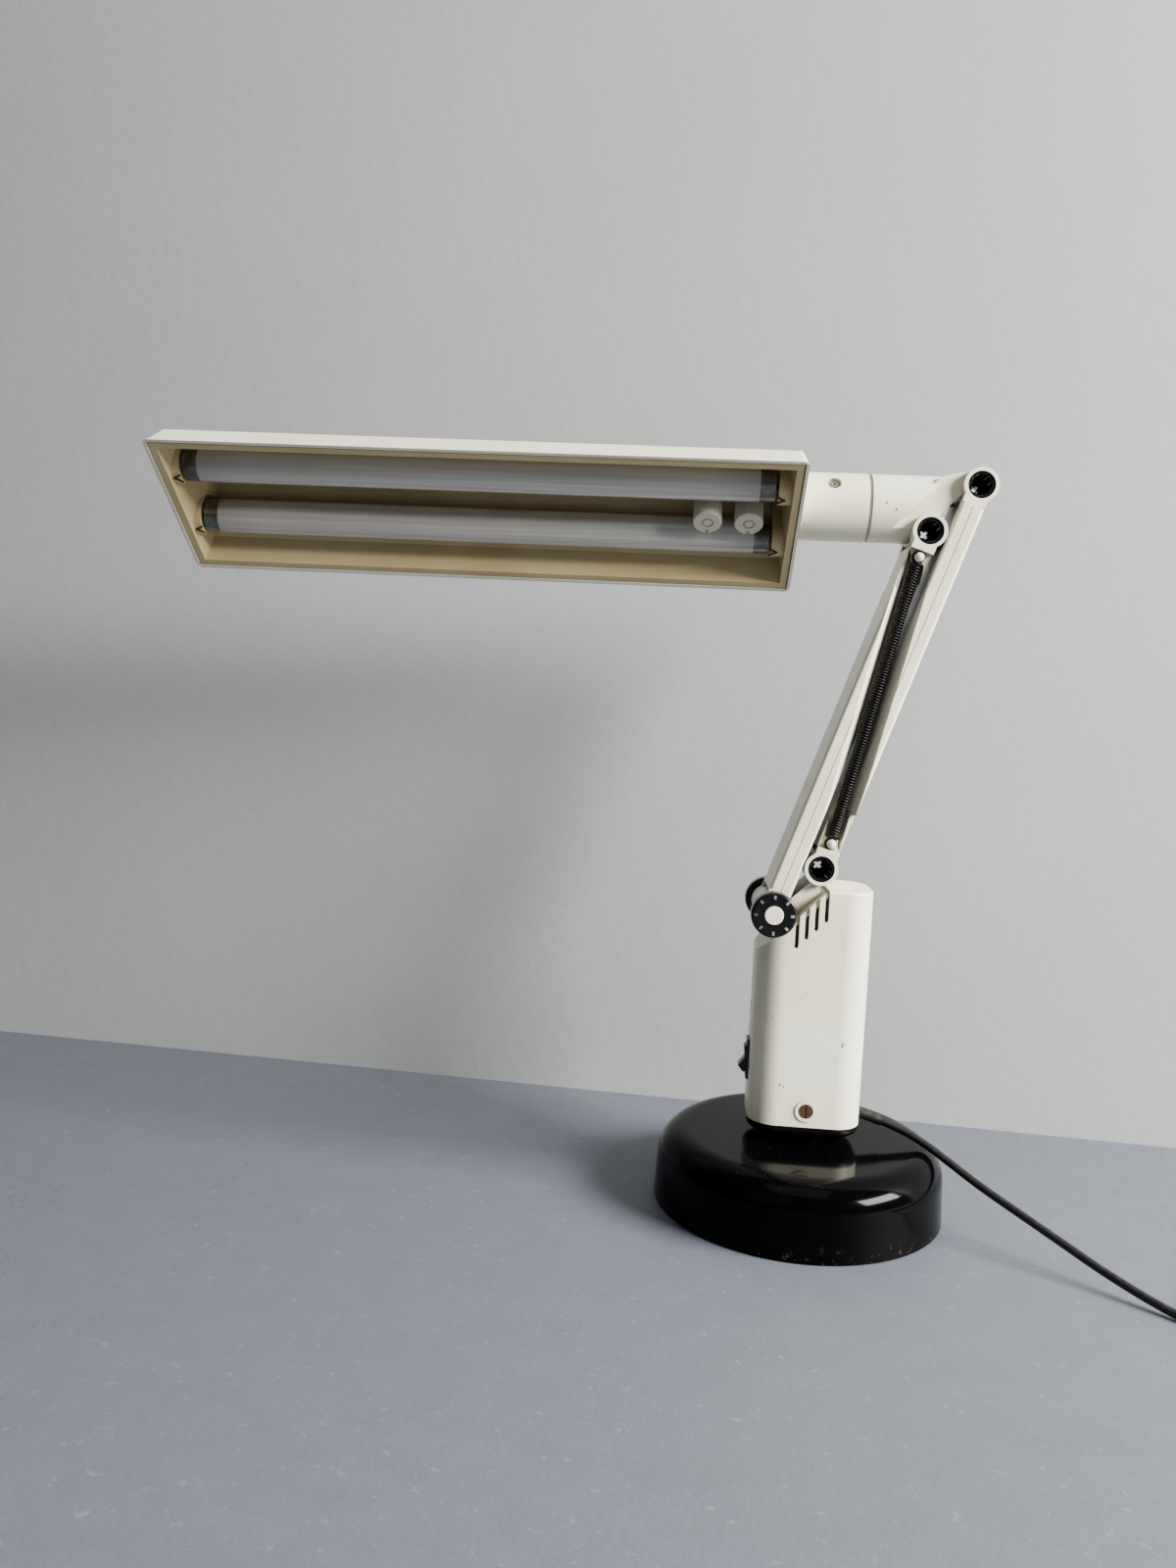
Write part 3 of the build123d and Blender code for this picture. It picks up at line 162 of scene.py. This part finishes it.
def mouldedAbs(name, look):
    # injection-moulded ABS, decades old: satin and faintly grained, yellowed in patches, with painted shade and brown
    # dirt darkening the corners, creases and gaps between parts
    material, tree, shader = startMaterial(name, IOR=1.54, Specular_IOR_Level=0.5)
    place = addNode(tree, "TexCoord").outputs["Object"]
    ageing = addNode(tree, "TexNoise", {"Scale": scaleOf(look["patchMm"]), "Detail": 3.0}, {"Vector": place})
    tone = spreadTones(addNode(tree, "ValToRGB", (), {"Fac": ageing.outputs["Fac"]}), (0.35, 0.7),
                       (linear(look["colour"]), linear(look["aged"])))
    # painted shade: ambient occlusion darkens corners, creases and the gaps between parts toward a brown grime colour
    corner = addNode(tree, "AmbientOcclusion", {"samples": 6, "Distance": look["grimeAndShadeReachMm"] * mm})
    grimeAndShade = addNode(tree, "MapRange", {"From Min": look["grimeAndShadeFrom"], "From Max": look["grimeAndShadeTo"],
                                       "To Min": look["grimeAndShade"], "To Max": 0.0}, {"Value": corner.outputs["AO"]})
    top = addNode(tree, "Mix", {"data_type": "RGBA", 7: linear(look["grimeAndShadeColour"])},
                  {0: grimeAndShade.outputs["Result"], 6: tone}).outputs[2]
    specks = addNode(tree, "TexVoronoi", {"Scale": scaleOf(look["speckSpacingMm"])}, {"Vector": place})
    speck = addNode(tree, "MapRange", {"From Min": 0.02, "From Max": 0.05, "To Min": look["speck"], "To Max": 0.0},
                    {"Value": specks.outputs["Distance"]})
    top = addNode(tree, "Mix", {"data_type": "RGBA", 7: linear(look["speckColour"])},
                  {0: speck.outputs["Result"], 6: top}).outputs[2]
    if look["marks"]:
        top = addNode(tree, "Mix", {"data_type": "RGBA", 7: linear(look["markColour"])},
                      {0: knocks(tree, place, look), 6: top}).outputs[2]
    tree.links.new(top, shader.inputs["Base Color"])
    haze = addNode(tree, "TexNoise", {"Scale": scaleOf(look["hazeMm"]), "Detail": 4.0, "Roughness": 0.6},
                   {"Vector": place})
    polish = addNode(tree, "MapRange", {"From Min": 0.3, "From Max": 0.7, "To Min": look["roughness"] - 0.06,
                                        "To Max": look["roughness"] + 0.08}, {"Value": haze.outputs["Fac"]})
    tree.links.new(polish.outputs["Result"], shader.inputs["Roughness"])
    grain = addNode(tree, "TexNoise", {"Scale": scaleOf(look["grainMm"]), "Detail": 2.0}, {"Vector": place})
    giveRelief(tree, shader, grain.outputs["Fac"], look["grain"], look["grainDepthMm"], look["roundMm"])
    return material


knobLook = {"colour": "#0A0A0B", "roughness": 0.26, "dustMm": 3, "dust": 0.12, "dustColour": "#8D8A84", "grainMm": 0.7,
            "grain": 0.1, "grainDepthMm": 0.1, "roundMm": 0.3, "glintFromMm": 0}
# the knobs' raised marks carry painted highlights: pale glints, brighter toward the lit right side
glintedKnobLook = dict(knobLook, glintFromMm=41.35, glintColour="#A5A59F", glintSideMm=(-49, -18), glintStrength=(0.12, 0.85))
rubberLook = dict(knobLook, colour="#0D0D0E", roughness=0.55, grain=0.3, roundMm=0.4, dust=0.2)
cordLook = dict(knobLook, colour="#0B0B0C", roughness=0.45, grain=0.1, roundMm=0.0, dust=0.1)


def paintedRibGlints(tree, place, look):
    # painted highlight: the tops of a knob's raised marks are painted pale as glints, strongest toward +X, the side the
    # window light comes from
    apart = addNode(tree, "SeparateXYZ", (), {"Vector": place})
    outward = addNode(tree, "Math", {"operation": "ABSOLUTE"}, {0: apart.outputs["Y"]})
    raised = addNode(tree, "MapRange", {"From Min": look["glintFromMm"] * mm,
                                        "From Max": (look["glintFromMm"] + 0.15) * mm}, {"Value": outward.outputs[0]})
    litSide = addNode(tree, "MapRange", {"From Min": look["glintSideMm"][0] * mm, "From Max": look["glintSideMm"][1] * mm,
                                       "To Min": look["glintStrength"][0], "To Max": look["glintStrength"][1]},
                    {"Value": apart.outputs["X"]})
    glint = addNode(tree, "Math", {"operation": "MULTIPLY"}, {0: raised.outputs["Result"], 1: litSide.outputs["Result"]})
    return glint.outputs[0]


def blackPlastic(name, look):
    # black moulded thermoplastic: deep, slightly greasy gloss with dust on the upper faces
    material, tree, shader = startMaterial(name, IOR=1.5, Roughness=look["roughness"], Specular_IOR_Level=0.35)
    place = addNode(tree, "TexCoord").outputs["Object"]
    dust = addNode(tree, "TexNoise", {"Scale": scaleOf(look["dustMm"]), "Detail": 6.0, "Roughness": 0.65},
                   {"Vector": place})
    facing = addNode(tree, "SeparateXYZ", (), {"Vector": addNode(tree, "NewGeometry").outputs["Normal"]})
    share = addNode(tree, "MapRange", {"From Min": 0.1, "From Max": 1.0, "To Min": 0.0, "To Max": look["dust"]},
                    {"Value": facing.outputs["Z"]})
    speckle = addNode(tree, "MapRange", {"From Min": 0.45, "From Max": 0.75}, {"Value": dust.outputs["Fac"]})
    cover = addNode(tree, "Math", {"operation": "MULTIPLY"}, {0: share.outputs["Result"], 1: speckle.outputs["Result"]})
    top = addNode(tree, "Mix", {"data_type": "RGBA", 6: linear(look["colour"]), 7: linear(look["dustColour"])},
                  {0: cover.outputs[0]}).outputs[2]
    # painted highlight: pale glints on the tops of the raised marks
    if look["glintFromMm"]:
        top = addNode(tree, "Mix", {"data_type": "RGBA", 7: linear(look["glintColour"])},
                      {0: paintedRibGlints(tree, place, look), 6: top}).outputs[2]
    tree.links.new(top, shader.inputs["Base Color"])
    grain = addNode(tree, "TexNoise", {"Scale": scaleOf(look["grainMm"]), "Detail": 2.0}, {"Vector": place})
    giveRelief(tree, shader, grain.outputs["Fac"], look["grain"], look["grainDepthMm"], look["roundMm"])
    return material


enamelLook = {"colour": "#030304", "roughness": 0.1, "specular": 0.06,
              "dustMm": 1.6, "dust": 0.2, "dustColour": "#77746E",
              "footMm": (4, 14), "chipMm": 5, "chip": 0.8, "primer": "#3B3732",
              "rippleMm": 16, "ripple": 0.05, "rippleDepthMm": 0.4, "roundMm": 0.5}


def blackEnamel(look):
    # stove enamel over pressed steel: a deep gloss that ripples a little, with dust on the level top
    material, tree, shader = startMaterial("blackStoveEnamel", IOR=1.5, Roughness=look["roughness"],
                                           Specular_IOR_Level=look["specular"])
    place = addNode(tree, "TexCoord").outputs["Object"]
    dust = addNode(tree, "TexNoise", {"Scale": scaleOf(look["dustMm"]), "Detail": 3.0}, {"Vector": place})
    facing = addNode(tree, "SeparateXYZ", (), {"Vector": addNode(tree, "NewGeometry").outputs["Normal"]})
    fleck = addNode(tree, "MapRange", {"From Min": 0.68, "From Max": 0.76, "To Max": look["dust"]},
                    {"Value": dust.outputs["Fac"]})
    level = addNode(tree, "MapRange", {"From Min": 0.5, "From Max": 1.0}, {"Value": facing.outputs["Z"]})
    cover = addNode(tree, "Math", {"operation": "MULTIPLY"}, {0: fleck.outputs["Result"], 1: level.outputs["Result"]})
    dusty = addNode(tree, "Mix", {"data_type": "RGBA", 6: linear(look["colour"]), 7: linear(look["dustColour"])},
                    {0: cover.outputs[0]}).outputs[2]
    # the foot of the skirt is knocked down to the primer where it meets the table
    height = addNode(tree, "SeparateXYZ", (), {"Vector": place})
    foot = addNode(tree, "MapRange", {"From Min": look["footMm"][0] * mm, "From Max": look["footMm"][1] * mm,
                                      "To Min": 1.0, "To Max": 0.0}, {"Value": height.outputs["Z"]})
    chips = addNode(tree, "TexNoise", {"Scale": scaleOf(look["chipMm"]), "Detail": 5.0, "Roughness": 0.7},
                    {"Vector": place})
    chipped = addNode(tree, "MapRange", {"From Min": 0.6, "From Max": 0.64, "To Max": look["chip"]},
                      {"Value": chips.outputs["Fac"]})
    knocked = addNode(tree, "Math", {"operation": "MULTIPLY"},
                      {0: foot.outputs["Result"], 1: chipped.outputs["Result"]})
    top = addNode(tree, "Mix", {"data_type": "RGBA", 7: linear(look["primer"])}, {0: knocked.outputs[0], 6: dusty})
    tree.links.new(top.outputs[2], shader.inputs["Base Color"])
    ripple = addNode(tree, "TexNoise", {"Scale": scaleOf(look["rippleMm"]), "Detail": 1.0}, {"Vector": place})
    giveRelief(tree, shader, ripple.outputs["Fac"], look["ripple"], look["rippleDepthMm"], look["roundMm"])
    return material


zincLook = {"colour": "#B9BABB", "tarnish": "#8C8B88", "metallic": 1.0, "roughness": 0.32, "blotchMm": 4,
            "pitting": 0.08, "pitDepthMm": 0.15, "roundMm": 0.25}
rustLook = dict(zincLook, colour="#5A3524", tarnish="#2B1A14", metallic=0.25, roughness=0.62, blotchMm=1.5, pitting=0.8)
springLook = dict(zincLook, colour="#1B1A19", tarnish="#0D0C0C", metallic=0.7, roughness=0.36, blotchMm=6, roundMm=0.0)
lampCapLook = dict(zincLook, colour="#8C8A84", tarnish="#5E5B55", roughness=0.26, blotchMm=16, pitting=0.02,
                   roundMm=0.3)
plugPinLook = dict(zincLook, colour="#C9C6BE", tarnish="#A7A297", roughness=0.2)
castLook = dict(zincLook, colour="#3E3E3F", tarnish="#2A2826", metallic=0.6, roughness=0.6, blotchMm=3, pitting=0.5)
clipLook = dict(zincLook, colour="#4B443A", tarnish="#2A251F", metallic=0.8, roughness=0.4, blotchMm=2, roundMm=0.1)


def metal(name, look):
    # machined, drawn or cast metal: blotched where it was handled, dulled by years of dust
    material, tree, shader = startMaterial(name, Metallic=look["metallic"])
    place = addNode(tree, "TexCoord").outputs["Object"]
    blotch = addNode(tree, "TexNoise", {"Scale": scaleOf(look["blotchMm"]), "Detail": 5.0, "Roughness": 0.6},
                     {"Vector": place})
    tone = spreadTones(addNode(tree, "ValToRGB", (), {"Fac": blotch.outputs["Fac"]}), (0.38, 0.66),
                       (linear(look["colour"]), linear(look["tarnish"])))
    tree.links.new(tone, shader.inputs["Base Color"])
    dull = addNode(tree, "MapRange", {"From Min": 0.35, "From Max": 0.65, "To Min": look["roughness"],
                                      "To Max": look["roughness"] + 0.18}, {"Value": blotch.outputs["Fac"]})
    tree.links.new(dull.outputs["Result"], shader.inputs["Roughness"])
    giveRelief(tree, shader, blotch.outputs["Fac"], look["pitting"], look["pitDepthMm"], look["roundMm"])
    return material


# the painted sheen streaks run along the lamp and lie about 2.4 mm apart across it
glassLook = {"colour": "#CFCCC7", "sheenStreak": "#BCB8B0", "sheenStreaksPerMetre": (6, 420, 420), "roughness": 0.3,
             "usedColour": "#8F8B84", "usedMm": (35, 2), "used": 0.45}


def coatedGlass(look):
    # soda glass with a white phosphor coat inside: milk under a clear gloss, streaked along with painted sheen, grey
    # where it is used up
    material, tree, shader = startMaterial("phosphorCoatedGlass", IOR=1.5, Roughness=look["roughness"], Coat_Weight=1.0,
                                           Coat_Roughness=0.05)
    place = addNode(tree, "TexCoord").outputs["Object"]
    drawn = addNode(tree, "Mapping", {"Scale": look["sheenStreaksPerMetre"]}, {"Vector": place})
    sheenStreak = addNode(tree, "TexNoise", {"Scale": 1.0, "Detail": 3.0, "Roughness": 0.6},
                     {"Vector": drawn.outputs["Vector"]})
    # painted highlight: the coat is banded lighter and darker along the lamp as a painted sheen
    coat = spreadTones(addNode(tree, "ValToRGB", (), {"Fac": sheenStreak.outputs["Fac"]}), (0.38, 0.66),
                       (linear(look["sheenStreak"]), linear(look["colour"])))
    low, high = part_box("lamp_glass_front")
    half = (high.x - low.x) / 2
    along = addNode(tree, "SeparateXYZ", (), {"Vector": place})
    fromMiddle = addNode(tree, "Math", {"operation": "SUBTRACT", 1: (low.x + high.x) / 2}, {0: along.outputs["X"]})
    distance = addNode(tree, "Math", {"operation": "ABSOLUTE"}, {0: fromMiddle.outputs[0]})
    used = addNode(tree, "MapRange", {"From Min": half - look["usedMm"][0] * mm,
                                      "From Max": half - look["usedMm"][1] * mm, "To Max": look["used"]},
                   {"Value": distance.outputs[0]})
    top = addNode(tree, "Mix", {"data_type": "RGBA", 7: linear(look["usedColour"])},
                  {0: used.outputs["Result"], 6: coat})
    tree.links.new(top.outputs[2], shader.inputs["Base Color"])
    return material


finishes = {
    "cream_plastic": mouldedAbs("creamAbs", creamLook),
    "tray_plastic": mouldedAbs("yellowedAbs", trayLook),
    "pin_plastic": mouldedAbs("creamAcetal", pinLook),
    "starter_plastic": mouldedAbs("starterPolycarbonate", starterLook),
    "black_lacquer": blackEnamel(enamelLook),
    "black_plastic": blackPlastic("blackAbs", knobLook),
    "black_rubber": blackPlastic("blackRubber", rubberLook),
    "iron": metal("castIron", castLook),
    "core_steel": metal("laminatedSteel", castLook),
    "zinc_steel": metal("zincPlatedSteel", zincLook),
    "rusty_steel": metal("rustedSteel", rustLook),
    "blackened_steel": metal("oiledSpringSteel", springLook),
    "plated_brass": metal("nickelPlatedBrass", plugPinLook),
    "lamp_glass": coatedGlass(glassLook),
    "lamp_cap": metal("drawnAluminium", lampCapLook),
}
pvcLead = blackPlastic("blackPvc", cordLook)
armPlastic = mouldedAbs("creamAbsArms", armLook)
knobPlastic = blackPlastic("blackAbsKnob", glintedKnobLook)
columnPlastic = mouldedAbs("creamAbsColumn", columnLook)
ownFinish = {"contact_clips": metal("contactBronze", clipLook), "column_shell": columnPlastic,
             "front_arm_frame": armPlastic, "front_arm_cover": armPlastic, "rear_arm_frame": armPlastic,
             "head_bracket": armPlastic, "column_bracket": armPlastic,
             "knob_front": knobPlastic, "knob_rear": knobPlastic}

for part in frame["record"]["subparts"]:
    mesh = frame["nodes"][part["node"]].data
    mesh.materials.clear()
    mesh.materials.append(ownFinish.get(part["node"], finishes[part["material_slot"]]))
print("finishes set:", len(finishes) + len(ownFinish))


# ---- pieces made here ----
def finishPiece(name, mesh, finish, body):
    piece = bpy.data.objects.new(name, mesh)
    bpy.context.scene.collection.objects.link(piece)
    mesh.materials.append(finish)
    if body:
        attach(piece, body)
    return piece


def wireMesh(name, points, radius, sides):
    # a round wire through the points, with its ring turned as little as possible from point to point
    vertices, faces = [], []
    count = len(points)
    across = None
    for i, point in enumerate(points):
        ahead = points[min(i + 1, count - 1)] - points[max(i - 1, 0)]
        ahead.normalize()
        if across is None:
            across = ahead.orthogonal().normalized()
        across = (across - ahead * across.dot(ahead)).normalized()
        other = ahead.cross(across)
        for k in range(sides):
            angle = 2 * math.pi * k / sides
            vertices.append(point + (across * math.cos(angle) + other * math.sin(angle)) * radius)
    for i in range(count - 1):
        for k in range(sides):
            a, b = i * sides + k, i * sides + (k + 1) % sides
            faces.append((a, b, b + sides, a + sides))
    faces.append(tuple(reversed(range(sides))))
    faces.append(tuple((count - 1) * sides + k for k in range(sides)))
    mesh = bpy.data.meshes.new(name)
    mesh.from_pydata([tuple(v) for v in vertices], [], faces)
    mesh.shade_smooth()
    return mesh


# ---- springs ----
spring = {"pinReach": 20.0, "eyeReach": 5.8, "wire": 1.5, "pitch": 2.1, "coilRadius": 4.5, "eyeRadius": 4.0,
          "planeY": 20.0, "eyeY": 19.95, "eyeSteps": 20, "eyeSweep": 320, "lowEyeFrom": 20, "highEyeFrom": 200,
          "tuckReach": 3.2, "tuck": 0.8, "armLength": 300.0, "armAngle": 71.3, "linkSpan": 48.0, "linkAngle": 45.0,
          "pivotA": (-33.0, 229.4), "stepsPerTurn": 14, "sides": 6}


def springLine():
    armTurn, linkTurn = math.radians(spring["armAngle"]), math.radians(spring["linkAngle"])
    arm = Vector((math.cos(armTurn), 0, math.sin(armTurn)))
    link = Vector((math.cos(linkTurn), 0, math.sin(linkTurn)))
    pivotA = Vector((spring["pivotA"][0], 0, spring["pivotA"][1]))
    low = pivotA + link * spring["linkSpan"] + arm * spring["pinReach"]
    high = pivotA + arm * (spring["armLength"] - spring["pinReach"])
    return low * mm, high * mm


def springEye(centre, along, across, fromAngle):
    reach = spring["eyeRadius"] * mm
    points = []
    for i in range(spring["eyeSteps"] + 1):
        angle = math.radians(fromAngle + spring["eyeSweep"] * i / spring["eyeSteps"])
        points.append(centre + along * math.cos(angle) * reach + across * math.sin(angle) * reach)
    return points


def springWire(side):
    low, high = springLine()
    along = (high - low).normalized()
    across = Vector((0, 1, 0)).cross(along)
    outward = Vector((0, side, 0))
    wire = spring["wire"] * mm
    middle = spring["coilRadius"] * mm - wire / 2
    start, end = spring["eyeReach"] * mm, (high - low).length - spring["eyeReach"] * mm
    turns = round((end - start) / (spring["pitch"] * mm))
    base = low + outward * spring["planeY"] * mm
    top = high + outward * spring["planeY"] * mm
    inward = outward * (spring["eyeY"] - spring["planeY"]) * mm
    steps = spring["stepsPerTurn"] * turns
    tuckSteps = spring["stepsPerTurn"] // 2
    coil = []
    for i in range(-tuckSteps, steps + tuckSteps + 1):
        share = min(max(i / steps, 0), 1)
        ease = 1 - min(max(-i, i - steps, 0) / tuckSteps, 1) * spring["tuck"]   # the last half turn tucks in to the eye
        over = min(i, 0) + max(i - steps, 0)
        angle = 2 * math.pi * i / spring["stepsPerTurn"]
        place = start + (end - start) * share + over / tuckSteps * spring["tuckReach"] * mm
        coil.append(base + along * place + (across * math.cos(angle) + outward * math.sin(angle)) * middle * ease)
    lowEye = springEye(base + inward, along, across, spring["lowEyeFrom"])
    highEye = springEye(top + inward, along, across, spring["highEyeFrom"])
    return wireMesh("springWire", lowEye + coil + highEye, wire / 2, spring["sides"])


def addSprings():
    for label, side in (("Front", -1), ("Rear", 1)):
        piece = finishPiece("spring" + label, springWire(side), finishes["blackened_steel"], None)
        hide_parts("spring_coil_" + label.lower(), "spring_eyes_lower", "spring_eyes_upper")
        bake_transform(piece)


addSprings()
print("springs wound")


# ---- mains lead ----
lead = {"radius": 3.0, "length": 1.8, "coilTurns": 6.362, "outerTurn": 46.9, "innerTurn": 27.7, "coilX": 298.96,
        "coilY": -141.41, "firstAngle": -130.2, "lowRow": 3.05, "highRow": 9.05, "stepsPerTurn": 14,
        "plugX": 345.86, "plugY": -114.24, "plugZ": 7.05}
route = [(61.320, -4.393, 68.534), (76.316, -8.132, 64.393), (91.5, -17.6, 58.4), (107.5, -28.4, 49.8),
         (127.0, -46.6, 39.8), (152.0, -70.3, 30.0), (173.0, -89.7, 21.7), (192.0, -108.0, 14.0),
         (212.0, -127.4, 7.7), (232.0, -146.2, 3.05), (249.5, -161.0, 3.05)]


def coilPoints():
    # turns inward along the table, up over the innermost turn, and outward again on top
    steps = round(lead["coilTurns"] * lead["stepsPerTurn"])
    half = lead["coilTurns"] / 2
    points = []
    for i in range(steps + 1):
        turned = lead["coilTurns"] * i / steps
        inward = 1 - abs(turned - half) / half
        radius = lead["outerTurn"] + (lead["innerTurn"] - lead["outerTurn"]) * min(inward * half / (half - 0.5), 1)
        climb = min(max((turned - half + 0.5) / 1.0, 0), 1)
        height = lead["lowRow"] + (lead["highRow"] - lead["lowRow"]) * climb * climb * (3 - 2 * climb)
        angle = math.radians(lead["firstAngle"]) + 2 * math.pi * turned
        points.append((lead["coilX"] + radius * math.cos(angle), lead["coilY"] + radius * math.sin(angle), height))
    return points


def addLead():
    coil = coilPoints()
    neck = [(lead["plugX"], lead["coilY"] + 12.0, lead["highRow"] - 0.4), (lead["plugX"], lead["plugY"], lead["plugZ"])]
    points = route + coil + neck
    curve = bpy.data.curves.new("mainsLead", "CURVE")
    curve.dimensions = "3D"
    curve.bevel_depth = lead["radius"] * mm
    curve.bevel_resolution = 5
    curve.use_fill_caps = True
    spline = curve.splines.new("NURBS")
    spline.points.add(len(points) - 1)
    for control, point in zip(spline.points, points):
        control.co = (*[c * mm for c in point], 1)
    spline.order_u = 3
    spline.use_endpoint_u = True
    spline.resolution_u = 6
    piece = bpy.data.objects.new("mainsLead", curve)
    bpy.context.scene.collection.objects.link(piece)
    curve.materials.append(pvcLead)
    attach(piece, "column")
    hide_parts("mains_cord", "cord_coil")
    return piece


leadPiece = addLead()
print("lead laid")


# ---- stage ----
stage = {"wallY": 0.2045, "wallTurn": -4.8, "size": 4.0, "world": "#E8ECF2", "worldStrength": 0.04}
floorLook = {"colour": "#5D626D", "cloudMm": 30, "spread": 0.05, "roughness": 0.55, "reliefMm": 4, "fleck": "#7B808A",
             "fleckMm": 9, "fleckShare": 0.45}
wallLook = {"colour": "#A0A3A6", "cloudMm": 220, "spread": 0.03, "roughness": 0.85, "reliefMm": 12, "fleck": None}


def rolledPaint(name, look):
    # a rolled coat of pale paint: slow clouds of tone, a fine relief, and on the floor a few paler flecks
    material, tree, shader = startMaterial(name, Roughness=look["roughness"])
    place = addNode(tree, "TexCoord").outputs["Object"]
    cloud = addNode(tree, "TexNoise", {"Scale": scaleOf(look["cloudMm"]), "Detail": 6.0, "Roughness": 0.6},
                    {"Vector": place})
    base = linear(look["colour"])[:3]
    dark, light = ([min(c * share, 1) for c in base] + [1] for share in (1 - look["spread"], 1 + look["spread"]))
    top = spreadTones(addNode(tree, "ValToRGB", (), {"Fac": cloud.outputs["Fac"]}), (0.3, 0.7), (dark, light))
    if look["fleck"]:
        flecks = addNode(tree, "TexNoise", {"Scale": scaleOf(look["fleckMm"]), "Detail": 3.0, "Roughness": 0.7},
                         {"Vector": place})
        share = addNode(tree, "MapRange", {"From Min": 0.62, "From Max": 0.68, "To Max": look["fleckShare"]},
                        {"Value": flecks.outputs["Fac"]})
        top = addNode(tree, "Mix", {"data_type": "RGBA", 7: linear(look["fleck"])},
                      {0: share.outputs["Result"], 6: top}).outputs[2]
    tree.links.new(top, shader.inputs["Base Color"])
    relief = addNode(tree, "TexNoise", {"Scale": scaleOf(look["reliefMm"]), "Detail": 4.0, "Roughness": 0.55},
                     {"Vector": place})
    giveRelief(tree, shader, relief.outputs["Fac"], 0.35, 0.8)
    return material


def openFromBehind(material):
    # the wall stands close behind the lamp, so its back is clear and the lamp shows from that side too
    tree = material.node_tree
    clear = addNode(tree, "BsdfTransparent")
    back = addNode(tree, "NewGeometry").outputs["Backfacing"]
    oneSided = addNode(tree, "MixShader", (), {0: back, 1: tree.nodes["Principled BSDF"].outputs["BSDF"],
                                               2: clear.outputs["BSDF"]})
    tree.links.new(oneSided.outputs["Shader"], tree.nodes["Material Output"].inputs["Surface"])
    return material


def addStage():
    size = stage["size"]
    floor = bpy.data.meshes.new("floor")
    floor.from_pydata([(-size, -size, 0), (size, -size, 0), (size, size, 0), (-size, size, 0)], [], [(0, 1, 2, 3)])
    floor.materials.append(rolledPaint("palePaintedFloor", floorLook))
    wall = bpy.data.meshes.new("wall")
    wall.from_pydata([(-size, 0, 0), (size, 0, 0), (size, 0, size), (-size, 0, size)], [], [(0, 1, 2, 3)])
    wall.materials.append(openFromBehind(rolledPaint("palePaintedWall", wallLook)))
    for mesh in (floor, wall):
        piece = bpy.data.objects.new(mesh.name, mesh)
        bpy.context.scene.collection.objects.link(piece)
        if mesh is wall:
            piece.location = (0, stage["wallY"], 0)
            piece.rotation_euler = (0, 0, math.radians(stage["wallTurn"]))


softboxes = [
    {"name": "windowLight", "place": (2.15, -0.95, 1.45), "aim": (-0.05, 0.05, 0.38), "width": 1.5, "height": 0.75,
     "watts": 375.0, "colour": "#FFFCF4"},
    {"name": "roomFill", "place": (-1.3, -2.3, 1.6), "aim": (-0.1, 0, 0.35), "width": 1.8, "height": 1.8,
     "watts": 4.0, "colour": "#FFF0D8"},
    {"name": "ceilingFill", "place": (0.0, -0.9, 2.7), "aim": (0, 0.05, 0.2), "width": 1.6, "height": 1.6,
     "watts": 10.0, "colour": "#EEF3FF"},
]


def addLights():
    for box in softboxes:
        data = bpy.data.lights.new(box["name"], "AREA")
        data.shape = "RECTANGLE"
        data.size = box["width"]
        data.size_y = box["height"]
        data.energy = box["watts"]
        data.color = linear(box["colour"])[:3]
        lamp = bpy.data.objects.new(box["name"], data)
        bpy.context.scene.collection.objects.link(lamp)
        lamp.location = box["place"]
        lamp.rotation_euler = (Vector(box["aim"]) - Vector(box["place"])).to_track_quat("-Z", "Y").to_euler()
    world = bpy.data.worlds.new("studio")
    world.use_nodes = True
    background = world.node_tree.nodes["Background"]
    background.inputs["Color"].default_value = linear(stage["world"])
    background.inputs["Strength"].default_value = stage["worldStrength"]
    bpy.context.scene.world = world


addStage()
addLights()
print("stage and lights set")
